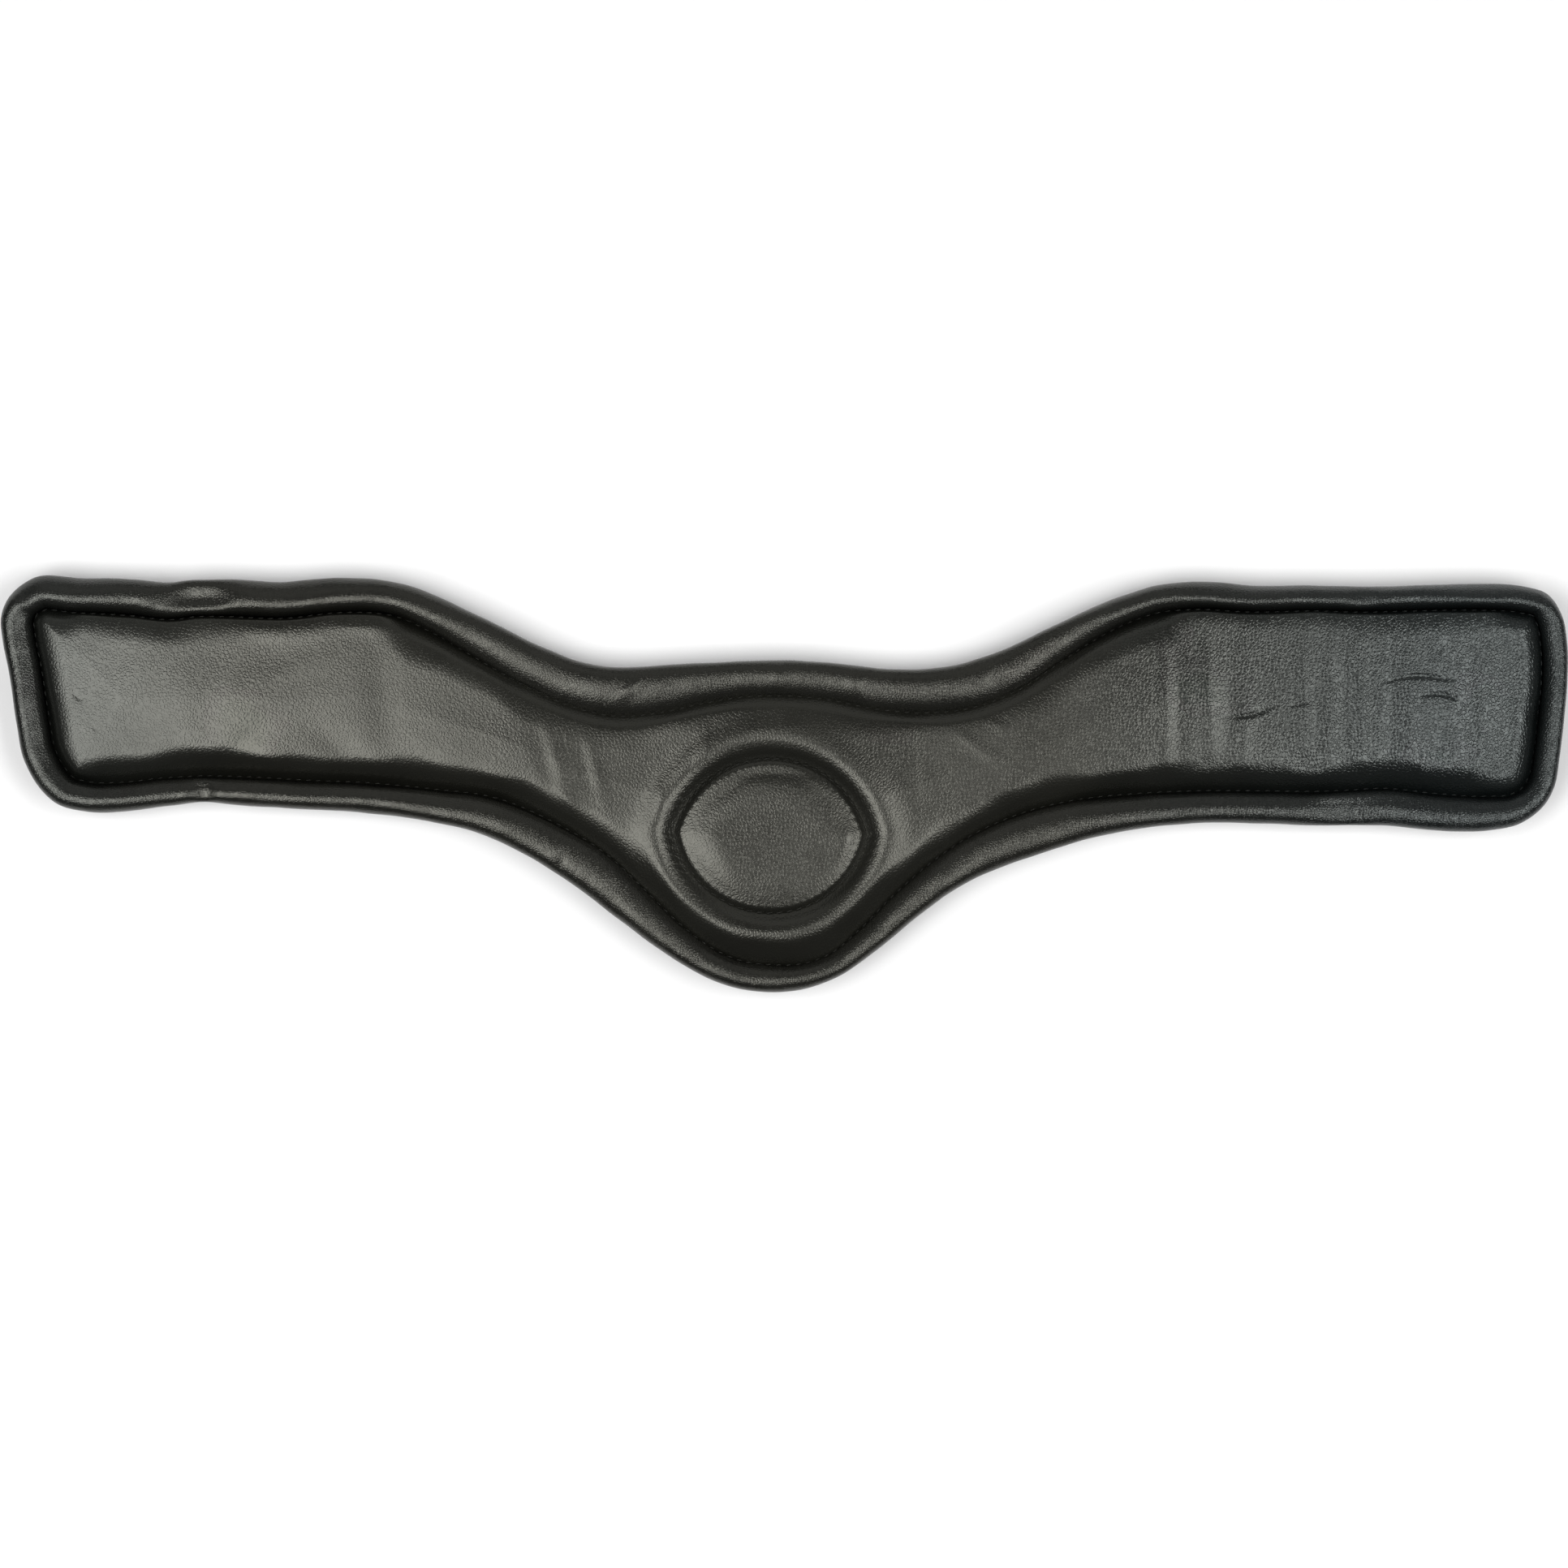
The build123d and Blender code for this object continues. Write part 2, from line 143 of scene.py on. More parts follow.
def splitAtMiddle(curve):
    # the closed, clockwise curve as a right half, rear to front, and a left half, front to rear
    x = curve[:, 0]
    after = np.roll(x, -1)
    rear = next(i for i in range(len(x)) if x[i] <= 0 < after[i] and curve[i, 1] > 0)
    curve = np.roll(curve, -rear, axis=0)
    x = curve[:, 0]
    front = next(i for i in range(10, len(x)) if x[i - 1] > 0 >= x[i])

    def crossing(a, b):
        share = a[0] / (a[0] - b[0])
        return a + share * (b - a)

    rearPoint = crossing(curve[0], curve[1])
    frontPoint = crossing(curve[front - 1], curve[front])
    return {
        "right": np.vstack([rearPoint, curve[1:front], frontPoint]),
        "left": np.vstack([frontPoint, curve[front:], rearPoint]),
    }


def smoothStep(value, low, high):
    t = np.clip((value - low) / (high - low), 0, 1)
    return t * t * (3 - 2 * t)


def softWave(position, seed, lengths, heights):
    # gentle unevenness along a length
    rng = random.Random(seed)
    total = np.zeros_like(np.asarray(position, float))
    for length, height in zip(lengths, heights):
        total = total + height * np.sin(2 * math.pi * position / length + rng.uniform(0, 6.28))
    return total


def softField(x, y, seed, lengths, heights):
    # gentle unevenness over a surface: crossed waves that run several ways
    rng = random.Random(seed)
    total = np.zeros_like(np.asarray(x, float))
    for length, height in zip(lengths, heights):
        for _ in range(3):
            turn = rng.uniform(0, math.pi)
            along = x * math.cos(turn) + y * math.sin(turn)
            total = total + height / 3 * np.sin(2 * math.pi * along / length + rng.uniform(0, 6.28))
    return total


def distanceTo(points, line):
    # distance of each point from a dense line, and the line's nearest point
    tree = KDTree(len(line))
    for i, place in enumerate(line):
        tree.insert((place[0], place[1], 0), i)
    tree.balance()
    which = np.array([tree.find((px, py, 0))[1] for px, py in points])
    best = np.full(len(points), 1e9)
    for shift in (-1, 0):
        a = line[np.clip(which + shift, 0, len(line) - 1), :2]
        b = line[np.clip(which + shift + 1, 0, len(line) - 1), :2]
        span = b - a
        share = ((points - a) * span).sum(axis=1) / np.maximum((span ** 2).sum(axis=1), 1e-9)
        foot = a + span * np.clip(share, 0, 1)[:, None]
        best = np.minimum(best, np.linalg.norm(points - foot, axis=1))
    return best, which


# mesh helpers
def closedVolume(points, faces):
    total = 0.0
    for f in faces:
        for k in range(1, len(f) - 1):
            total += np.dot(points[f[0]], np.cross(points[f[k]], points[f[k + 1]]))
    return total


def meshPiece(name, points, faces, sharpAngle=50):
    points = np.asarray(points, float).reshape(-1, 3)
    if closedVolume(points, faces) < 0:
        faces = [tuple(reversed(f)) for f in faces]
    mesh = bpy.data.meshes.new(name)
    mesh.from_pydata([tuple(p) for p in points * mm], [], faces)
    mesh.update()
    piece = bpy.data.objects.new(name, mesh)
    bpy.context.scene.collection.objects.link(piece)
    smoothPiece(piece, sharpAngle)
    return piece


def onlySelect(piece):
    bpy.ops.object.select_all(action="DESELECT")
    piece.select_set(True)
    bpy.context.view_layer.objects.active = piece


def smoothPiece(piece, sharpAngle=50):
    onlySelect(piece)
    bpy.ops.object.shade_smooth_by_angle(angle=math.radians(sharpAngle))
    piece.select_set(False)


def tubePiece(name, rings, sharpAngle=50):
    # rings: stations x section points x 3, each section closed, with flat ends
    stations, section = rings.shape[:2]
    faces = []
    for i in range(stations - 1):
        for j in range(section):
            k = (j + 1) % section
            faces.append((i * section + j, (i + 1) * section + j, (i + 1) * section + k, i * section + k))
    faces.append(tuple(range(section)))
    faces.append(tuple(reversed(range((stations - 1) * section, stations * section))))
    return meshPiece(name, rings.reshape(-1, 3), faces, sharpAngle)


def slabPiece(name, grid, top, low, sharpAngle=50):
    # grid: rows x columns x 2, with the height of its upper and lower face at each point
    rows, cols = grid.shape[:2]
    upper = np.dstack([grid, top]).reshape(-1, 3)
    lower = np.dstack([grid, low]).reshape(-1, 3)
    size = rows * cols
    faces = []
    for i in range(rows - 1):
        for j in range(cols - 1):
            a, b = i * cols + j, i * cols + j + 1
            c, d = a + cols, b + cols
            faces.append((a, b, d, c))
            faces.append((size + a, size + c, size + d, size + b))
    rim = [j for j in range(cols)]
    rim += [i * cols + cols - 1 for i in range(1, rows)]
    rim += [(rows - 1) * cols + j for j in range(cols - 2, -1, -1)]
    rim += [i * cols for i in range(rows - 2, 0, -1)]
    for a, b in zip(rim, rim[1:] + rim[:1]):
        faces.append((b, a, size + a, size + b))
    return meshPiece(name, np.vstack([upper, lower]), faces, sharpAngle)


def patchGrid(rear, front, outer, middle):
    # blends four border lines into a grid; rear and front run the same way
    rows, cols = len(outer), len(rear)
    u = np.linspace(0, 1, cols)[None, :, None]
    v = (lengthsAlong(middle) / lengthsAlong(middle)[-1])[:, None, None]
    acrossRows = rear[None] * (1 - v) + front[None] * v
    alongCols = middle[:, None] * (1 - u) + outer[:, None] * u
    corners = (
        rear[0] * (1 - u) * (1 - v) + rear[-1] * u * (1 - v)
        + front[0] * (1 - u) * v + front[-1] * u * v
    )
    return acrossRows + alongCols - corners


def crowdedStations(count, border, fine):
    # stations from 0 to 1, closer together near both ends
    steps = np.linspace(0, 1, count)
    near = smoothStep(np.minimum(steps, 1 - steps), 0, border)
    density = 1 / (fine + (1 - fine) * near)
    total = np.concatenate([[0], np.cumsum((density[1:] + density[:-1]) / 2)])
    return np.interp(np.linspace(0, total[-1], count), total, steps)


# the outline and the groove inside the rim
edgeCurve = splineThrough(girth["edge"], closed=True, perSpan=44)
edgeIn = inwardNormals(edgeCurve, closed=True)
edgeCurve = np.column_stack([edgeCurve, edgeIn])        # x, y, rim width, inward x, inward y
edgeHalves = splitAtMiddle(edgeCurve)


def innerCurve(extra, blur=22):
    # the line that lies the rim's width, and extra, inside the outline
    depth = blurredRound(edgeCurve[:, 2], blur) + extra
    nx = blurredRound(edgeIn[:, 0], blur)
    ny = blurredRound(edgeIn[:, 1], blur)
    size = np.hypot(nx, ny)
    line = edgeCurve[:, :2] + np.column_stack([nx / size, ny / size]) * depth[:, None]
    step = np.roll(line, -1, axis=0) - line
    travel = np.roll(edgeCurve[:, :2], -1, axis=0) - edgeCurve[:, :2]
    forward = (step * travel).sum(axis=1) > 0
    return line[forward]


def insetCurve(inset):
    return edgeCurve[:, :2] + edgeIn * inset


def quarters(curve, corners):
    # each half of a closed line as its rear, outer end and front stretches
    out = {}
    for side, half in splitAtMiddle(curve).items():
        rearCorner, frontCorner = corners[side]
        r = ((half[:, :2] - rearCorner) ** 2).sum(axis=1).argmin()
        f = ((half[:, :2] - frontCorner) ** 2).sum(axis=1).argmin()
        if side == "right":
            out[side] = {"rear": half[:r + 1], "end": half[r:f + 1], "front": half[f:][::-1]}
        else:
            out[side] = {"rear": half[r:][::-1], "end": half[f:r + 1][::-1], "front": half[:f + 1]}
    return out


def halfGrid(parts, cols, rows, border=0.16, fine=0.35):
    # grid over one half: columns run from the middle to the end, rows from the rear to the front
    colStations = crowdedStations(2 * cols - 1, border, fine)
    colStations = (colStations[cols - 1:] - 0.5) * 2
    rowStations = crowdedStations(rows, border * 2, fine)
    rear = resampled(parts["rear"][:, :2], colStations)
    front = resampled(parts["front"][:, :2], colStations)
    outer = resampled(parts["end"][:, :2], rowStations)
    middle = np.array([rear[0] * (1 - v) + front[0] * v for v in rowStations])
    return patchGrid(rear, front, outer, middle)


# rim roll: soft leather over foam, all round the edge
rimRoll = {
    "top": 25.6,
    "middle": 18.9,
    "low": 13.3,
    "section": 32,
    "wings": (110, 175),          # from the middle's shape to the wings' one
    "facing": (0.1, 0.85),
    # where across its width the roll is highest: 1 is its middle, less is nearer the lining
    "peak": {"all": 1.15, "front": 0.15, "rear": 0.05, "rearWing": 0.5, "end": 0.4},
    "lowRound": 0.72,
    "creasePlace": 0.70,
    "creaseDepth": 0.55,
    "creaseWidth": 0.85,
    "puckerHeight": 0.13,
    # gentle unevenness of the roll's peak, top, sides and crease: seed, wave lengths, heights
    "peakWaves": (15, (120, 55), (0.06, 0.036)),
    "topWaves": (11, (83, 41, 23, 12.5), (0.22, 0.16, 0.1, 0.05)),
    "sideWaves": (12, (61, 29, 17), (0.18, 0.12, 0.07)),
    "creaseWaves": (5, (70, 33), (0.18, 0.12)),
    "flankEdge": (0.2, 0.09, 0.35),    # a fainter edge along the rear's outer flank: place, width, height
    "ribPitch": 3.1,              # fine ribs where the leather is gathered round the right end
    "ribHeight": 0.09,
    "ribsFrom": (330, 345),
    # pressed places: x, y, half length along the edge, drop of the top
    "presses": [
        (-261, 84, 15, 3.0), (-259, -3, 4.5, 1.5), (258, 84, 6, 1.0), (248, -12, 15, 1.6),
    ],
    # folds: x, y, direction in degrees, half length, half width, height
    "folds": [
        (-69, 42, 38, 7, 1.5, 1.0), (-63, 45, 40, 5, 1.3, -0.6), (-3, 48, 90, 6, 2.2, 0.35),
        (31, 45, 95, 6, 2.6, 0.6), (37, 45, 85, 6, 2.0, -0.35), (-275, 86, 75, 7, 1.2, 0.7),
        (-278, 84, 70, 7, 1.4, -0.7), (91, 50, 60, 6, 2.5, 0.4), (240, -14, 100, 5, 1.2, 0.5),
        (246, -13, 70, 5, 1.2, 0.5), (253, -14, 95, 5, 1.2, 0.5), (-100, -36, 60, 5, 2.0, -0.5),
    ],
    "fill": 0.8,
}


def foldHeights(x, y, folds):
    total = np.zeros_like(x)
    for fx, fy, turn, halfLength, halfWidth, height in folds:
        c, s = math.cos(math.radians(turn)), math.sin(math.radians(turn))
        along = (x - fx) * c + (y - fy) * s
        across = (y - fy) * c - (x - fx) * s
        total = total + height * np.exp(-(along / halfLength) ** 2 - (across / halfWidth) ** 2)
    return total


def makeRim(side):
    line = resampled(edgeHalves[side], girth["samples"])
    x, y, width, nx, ny = line.T
    size = np.hypot(nx, ny)
    nx, ny = nx / size, ny / size
    along = lengthsAlong(line)
    wingShare = smoothStep(np.abs(x), *rimRoll["wings"])
    front = smoothStep(ny, *rimRoll["facing"])
    rear = smoothStep(-ny, *rimRoll["facing"])
    endShare = np.clip(1 - front - rear, 0, 1)
    at = rimRoll["peak"]
    peak = at["all"] + at["front"] * front - (at["rearWing"] * wingShare - at["rear"]) * rear
    peak = peak + at["end"] * endShare + softWave(along, *rimRoll["peakWaves"])
    crease = (front * wingShare + endShare * (x < 0)) * rimRoll["creaseDepth"]
    crease = crease * (1 + softWave(along, *rimRoll["creaseWaves"]))
    topRise = rimRoll["top"] - rimRoll["middle"] + softWave(along, *rimRoll["topWaves"])
    lowDrop = rimRoll["middle"] - rimRoll["low"]
    sideways = softWave(along, *rimRoll["sideWaves"])
    press = np.zeros_like(x)
    for px, py, halfLength, drop in rimRoll["presses"]:
        inside = np.exp(-(np.abs(x - px) / halfLength) ** 2.6) * (np.abs(y - py) < 14)
        press = press + drop * inside
    angle = np.linspace(0, 2 * math.pi, rimRoll["section"], endpoint=False)
    rings = np.zeros((len(x), len(angle), 3))
    for j, turn in enumerate(angle):
        share = 0.5 - 0.5 * math.cos(turn)
        lift = math.sin(turn)
        if lift > 0:
            across = share ** peak
            height = lift ** (1 - 0.12 * np.clip(press, 0, 3))
            outward = 1 - smoothStep(across, 0.5, 0.95)
            z = rimRoll["middle"] + (topRise - press * lift * (0.25 + 0.75 * outward)) * height
        else:
            across = np.full_like(x, share)
            z = np.full_like(x, rimRoll["middle"] - lowDrop * abs(lift) ** rimRoll["lowRound"])
        depth = across * width + sideways * (1 - abs(lift)) * 0.6
        px, py = x + nx * depth, y + ny * depth
        if lift > 0:
            fromCrease = (across - rimRoll["creasePlace"]) * width
            z = z - crease * np.exp(-(fromCrease / rimRoll["creaseWidth"]) ** 2)
            pucker = smoothStep(across, 0.72, 0.95) * (1 - smoothStep(across, 0.97, 1.0))
            z = z + rimRoll["puckerHeight"] * pucker * np.sin(2 * math.pi * along / girth["stitchPitch"])
            z = z + foldHeights(px, py, rimRoll["folds"]) * lift
            ribs = smoothStep(x, *rimRoll["ribsFrom"]) * endShare * lift
            z = z + rimRoll["ribHeight"] * ribs * np.sin(2 * math.pi * along / rimRoll["ribPitch"])
            place, spread, height = rimRoll["flankEdge"]
            z = z + height * rear * wingShare * lift * np.exp(-((across - place) / spread) ** 2)
        rings[:, j] = np.column_stack([px, py, z])
    return tubePiece("rimRoll_" + side, rings, sharpAngle=75)


rims = {side: makeRim(side) for side in sideSign}
print("rim roll made")


# lining panel: smooth leather over foam, sunk to a stitched groove all round
liningPanel = {
    "columns": 230,
    "rows": 165,
    "flange": 17.6,               # height of the groove along the wings
    "flangeRear": 22.4,           # and in the middle, behind and in front of the pad
    "flangeFront": 20.6,
    "plateau": 27.0,
    "low": 13.6,
    "wings": (165, 182),          # from the middle's shape to the wings' one
    "middleRear": (95, 190),      # where the shallow groove of the middle fades out
    "middleFront": (60, 150),
    "endAt": (331.0, 333.5),      # the left and the right end, and how much they lean
    "endLean": 0.12,
    "lip": 2.3,                   # flat strip between the seam and the climb
    "lipRear": 0.9,               # less of it at the rear of the wings
    "corners": {
        "left": ((-330, 78.5), (-322, -1.5)),
        "right": ((333.5, 76.5), (325, -6.0)),
    },
    "grooveByPad": 24.6,
    "seamDip": 1.3,
    "ringHeight": 1.1,            # the raised ring round the pad, and where it runs
    "ringOut": 9.0,
    "ringWidth": 6.5,
    "endRidge": (8.5, 3.2, 0.5),  # a soft ridge inside the right end: distance in, width, height
    "wallRun": (4.5, 8.0),        # the bank down to the pad's bed: its steep part, and all of it
    "bedDrop": 1.6,
    "padPucker": (2.2, 1.3, 0.12),    # puckers outside the pad's seam: distance out, width, height
    "widthWaves": (21, (90, 47, 26), (0.096, 0.072, 0.048)),
    "topWaves": (31, (130, 64, 37), (0.55, 0.26, 0.12)),
    "rightWaves": (33, (21, 11), (0.12, 0.06)),
    # how the lining climbs from its groove: share of the rise, width and power of each step
    "climbs": {
        "softRear": [(0.45, 6, 2), (0.55, 15, 2)],
        "steepRear": [(0.76, 2.4, 1.8), (0.24, 13, 2.2)],
        "softFront": [(0.65, 13, 2.0), (0.35, 20, 2.6)],
        "ends": [(0.55, 6, 2.0), (0.45, 15, 2.2)],
    },
    # soft wrinkles: x, y, direction, half length, half width, height
    "folds": [
        (-101, 10, 107, 17, 3.0, 0.27), (-106, 8, 107, 15, 3.6, -0.2), (-96, -8, 128, 9, 2.6, 0.3),
        (-84, 6, 104, 15, 3.0, 0.22), (-89, 8, 104, 13, 3.0, -0.15), (-55, -8, 94, 12, 2.0, 0.2),
        (-35, 17, 88, 8, 1.1, 0.3), (-38, 17, 88, 8, 1.1, 0.22), (88, 15, 145, 16, 2.2, 0.4),
        (92, 28, 150, 7, 1.6, 0.35), (58, 8, 95, 16, 2.2, 0.22), (74, 2, 120, 14, 2.6, -0.25),
        (170, 34, 91, 24, 1.8, 0.5), (176, 30, 90, 24, 2.4, -0.36), (190, 32, 92, 26, 2.2, 0.55),
        (198, 34, 88, 22, 2.8, -0.4), (205, 20, 85, 16, 2.2, 0.4), (232, 40, 93, 18, 2.0, 0.45),
        (243, 30, 88, 24, 1.8, 0.6), (250, 34, 92, 24, 2.0, -0.5), (257, 30, 90, 24, 2.4, 0.55),
        (270, 26, 88, 20, 2.4, -0.4), (279, 30, 91, 20, 2.2, 0.4), (305, 34, 90, 24, 4.5, -0.45),
        (-255, 30, 80, 22, 8.0, -0.22), (-240, 18, 40, 12, 6.0, -0.4), (-198, 16, 150, 12, 6.0, -0.45),
        (-178, 36, 96, 22, 7.0, -0.25), (-215, 52, 20, 20, 6.0, 0.25), (-292, 44, 60, 20, 7.0, 0.25),
        (187, 8, 20, 9, 4.5, -0.7), (230, 10, 160, 9, 4.5, -0.7), (100, -3, 30, 8, 4.0, 0.5),
        (-186, 71, 178, 12, 3.2, 0.8),
    ],
    # fine creases: the points each one follows, and its depth
    "creases": [
        ([(196.7, 29.9), (208, 30.8), (218, 35.3)], 0.8),
        ([(224.6, 34.3), (234.7, 37.2)], 0.6),
        ([(264.4, 44.8), (279, 48.0), (298, 46.6)], 0.8),
        ([(281.5, 39.3), (293.4, 39.9), (300.3, 37.6)], 0.75),
        ([(-317, 40.5), (-312, 37.0)], 0.22),
        ([(-308.5, 26.5), (-305, 23.5)], 0.16),
    ],
    "creaseWidth": 0.85,
    "fill": 0.75,
}

centrePad = {
    "left": (-50.0, -21.3),
    "right": (38.0, -22.6),
    "rear": (-7.0, 12.6),
    "front": (-6.4, -58.8),
    "middle": (-6.2, -22.5),
    "border": 24.9,
    "top": 28.1,
    "flangeWidth": 1.6,
    "steepWidth": 2.6,
    "slopeWidth": 20.0,
    "low": 21.0,
    "seamShare": 0.962,           # how far out from the middle its stitches run
    "around": 260,
    "inward": 34,
    "pucker": (3.4, 1.3, 0.08),   # puckers inside its seam: distance in, width, height
    "topWaves": (41, (38, 19), (0.25, 0.08)),
    "folds": [
        (-27, -36, 125, 16, 9.0, 0.8), (28, -25, 60, 9, 6.0, 0.8), (14, 2, 140, 10, 2.4, 0.5),
        (-6, 6, 0, 22, 4.0, -0.5), (-24, -2, 35, 12, 4.0, -0.4),
    ],
    "fill": 0.8,
}


def arcThrough(a, b, c, count):
    # points on the round arc from a through b to c
    ax, ay, bx, by, cx, cy = *a, *b, *c
    d = 2 * (ax * (by - cy) + bx * (cy - ay) + cx * (ay - by))
    ux = ((ax**2 + ay**2) * (by - cy) + (bx**2 + by**2) * (cy - ay) + (cx**2 + cy**2) * (ay - by)) / d
    uy = ((ax**2 + ay**2) * (cx - bx) + (bx**2 + by**2) * (ax - cx) + (cx**2 + cy**2) * (bx - ax)) / d
    start = math.atan2(ay - uy, ax - ux)
    end = math.atan2(cy - uy, cx - ux)
    way = math.atan2(by - uy, bx - ux)
    sweep = (end - start) % (2 * math.pi)
    if (way - start) % (2 * math.pi) > sweep:
        sweep -= 2 * math.pi
    radius = math.hypot(ax - ux, ay - uy)
    turns = start + sweep * np.linspace(0, 1, count, endpoint=False)
    return np.column_stack([ux + radius * np.cos(turns), uy + radius * np.sin(turns)])


padCurve = np.vstack([
    arcThrough(centrePad["left"], centrePad["rear"], centrePad["right"], 400),
    arcThrough(centrePad["right"], centrePad["front"], centrePad["left"], 400),
])


def insidePad(points):
    # which points lie inside the pad's outline
    inside = np.zeros(len(points), bool)
    x, y = points.T
    for (ax, ay), (bx, by) in zip(padCurve, np.roll(padCurve, -1, axis=0)):
        crosses = (ay > y) != (by > y)
        inside ^= crosses & (x < (bx - ax) * (y - ay) / (by - ay + 1e-12) + ax)
    return inside


def grooveShift(line):
    # how far beyond the rim's own width the seam lies: less where the groove is shallow
    x, ny = np.abs(line[:, 0]), line[:, 4]
    middleRear = (1 - smoothStep(x, *liningPanel["middleRear"])) * smoothStep(-ny, 0.0, 0.5)
    middleFront = (1 - smoothStep(x, *liningPanel["middleFront"])) * smoothStep(ny, 0.0, 0.5)
    return 0.9 - 1.5 * middleRear - 0.9 * middleFront


seamLine = innerCurve(grooveShift(edgeCurve))
panelBorder = innerCurve(grooveShift(edgeCurve) - 2.4)


def wingMiddle(x):
    # the line halfway across the lining
    return np.interp(x, (-330, -150, -85, -6, 75, 150, 330), (39, 34, 8, -22, 6, 32, 36))


def puckersRound(x, y, radius):
    # the leather's waves round the pad, one for each stitch
    return np.sin(2 * math.pi * np.arctan2(y + 22, x + 6) * radius / girth["stitchPitch"])


def panelTop(points):
    # height of the lining at points of its plan
    depth, _ = distanceTo(points, panelBorder)
    x, y = points.T
    away = np.abs(x)
    wing = smoothStep(away, *liningPanel["wings"])
    rear = smoothStep(y - wingMiddle(x), -8, 8)
    front = 1 - rear
    endAt = np.where(x < 0, *liningPanel["endAt"]) - liningPanel["endLean"] * (76 - y)
    ends = smoothStep(away - endAt, -20, -7)
    rearMiddle = (1 - smoothStep(away, *liningPanel["middleRear"])) * rear
    frontMiddle = (1 - smoothStep(away, *liningPanel["middleFront"])) * front
    flange = liningPanel["flange"] * (1 - rearMiddle - frontMiddle)
    flange = flange + liningPanel["flangeRear"] * rearMiddle + liningPanel["flangeFront"] * frontMiddle
    rise = liningPanel["plateau"] - flange
    lip = liningPanel["lip"] - liningPanel["lipRear"] * rear * wing
    run = np.clip(depth - lip, 0, None)
    waver = 1 + softWave(x, *liningPanel["widthWaves"])

    def climbOf(profile):
        steps = liningPanel["climbs"][profile]
        return sum(share * (1 - (1 - np.clip(run / (width * waver), 0, 1)) ** power)
                   for share, width, power in steps)

    shape = rear * ((1 - wing) * climbOf("softRear") + wing * climbOf("steepRear"))
    shape = shape + front * climbOf("softFront")
    shape = shape * (1 - ends) + climbOf("ends") * ends
    z = flange + rise * shape
    z = z - liningPanel["seamDip"] * (1 - smoothStep(depth, 0.6, 3.0))
    place, spread, height = liningPanel["endRidge"]
    z = z + height * (x > 0) * ends * np.exp(-((run - place) / spread) ** 2)
    flat = smoothStep(run, 3, 14)
    z = z + 0.5 * smoothStep(depth, 10, 45)
    z = z + flat * softField(x, y, *liningPanel["topWaves"])
    z = z + flat * smoothStep(x, 150, 200) * softField(x, y * 0.25, *liningPanel["rightWaves"])
    z = z + flat * foldHeights(x, y, liningPanel["folds"])
    for route, cut in liningPanel["creases"]:
        line = resampled(splineThrough(route, closed=False), 120)
        near, at = distanceTo(points, line)
        fade = np.sin(math.pi * np.clip(at / 119, 0.01, 0.99) ** 1.3) ** 0.6
        z = z - cut * fade * np.exp(-(near / liningPanel["creaseWidth"]) ** 2)
    # the raised ring round the centre pad, and the pad's sunk bed
    padGap, _ = distanceTo(points, padCurve)
    inside = insidePad(points)
    out = np.where(inside, 0, padGap)
    ring = np.exp(-((out - liningPanel["ringOut"]) / liningPanel["ringWidth"]) ** 2)
    z = z + liningPanel["ringHeight"] * ring * smoothStep(depth, 4, 13) * (out > 0)
    bed = liningPanel["grooveByPad"]
    steep, wide = liningPanel["wallRun"]
    bank = 0.65 * (1 - (1 - np.clip(out / steep, 0, 1)) ** 2) + 0.35 * smoothStep(out, 0.5, wide)
    z = np.where(out < wide, np.minimum(z, bed + (z - bed) * bank), z)
    z = np.where(inside, bed - liningPanel["bedDrop"] * smoothStep(padGap, 0.5, 3), z)
    place, spread, height = liningPanel["padPucker"]
    pucker = height * np.exp(-((out - place) / spread) ** 2) * (out > 0)
    return z + pucker * puckersRound(x, y, 46)


def makePanel(side):
    parts = quarters(panelBorder, liningPanel["corners"])[side]
    grid = halfGrid(parts, liningPanel["columns"], liningPanel["rows"])
    flatGrid = grid.reshape(-1, 2)
    top = panelTop(flatGrid).reshape(grid.shape[:2])
    low = np.full_like(top, liningPanel["low"])
    return slabPiece("liningPanel_" + side, grid, top, low, sharpAngle=60)


panels = {side: makePanel(side) for side in sideSign}
print("lining panel made")


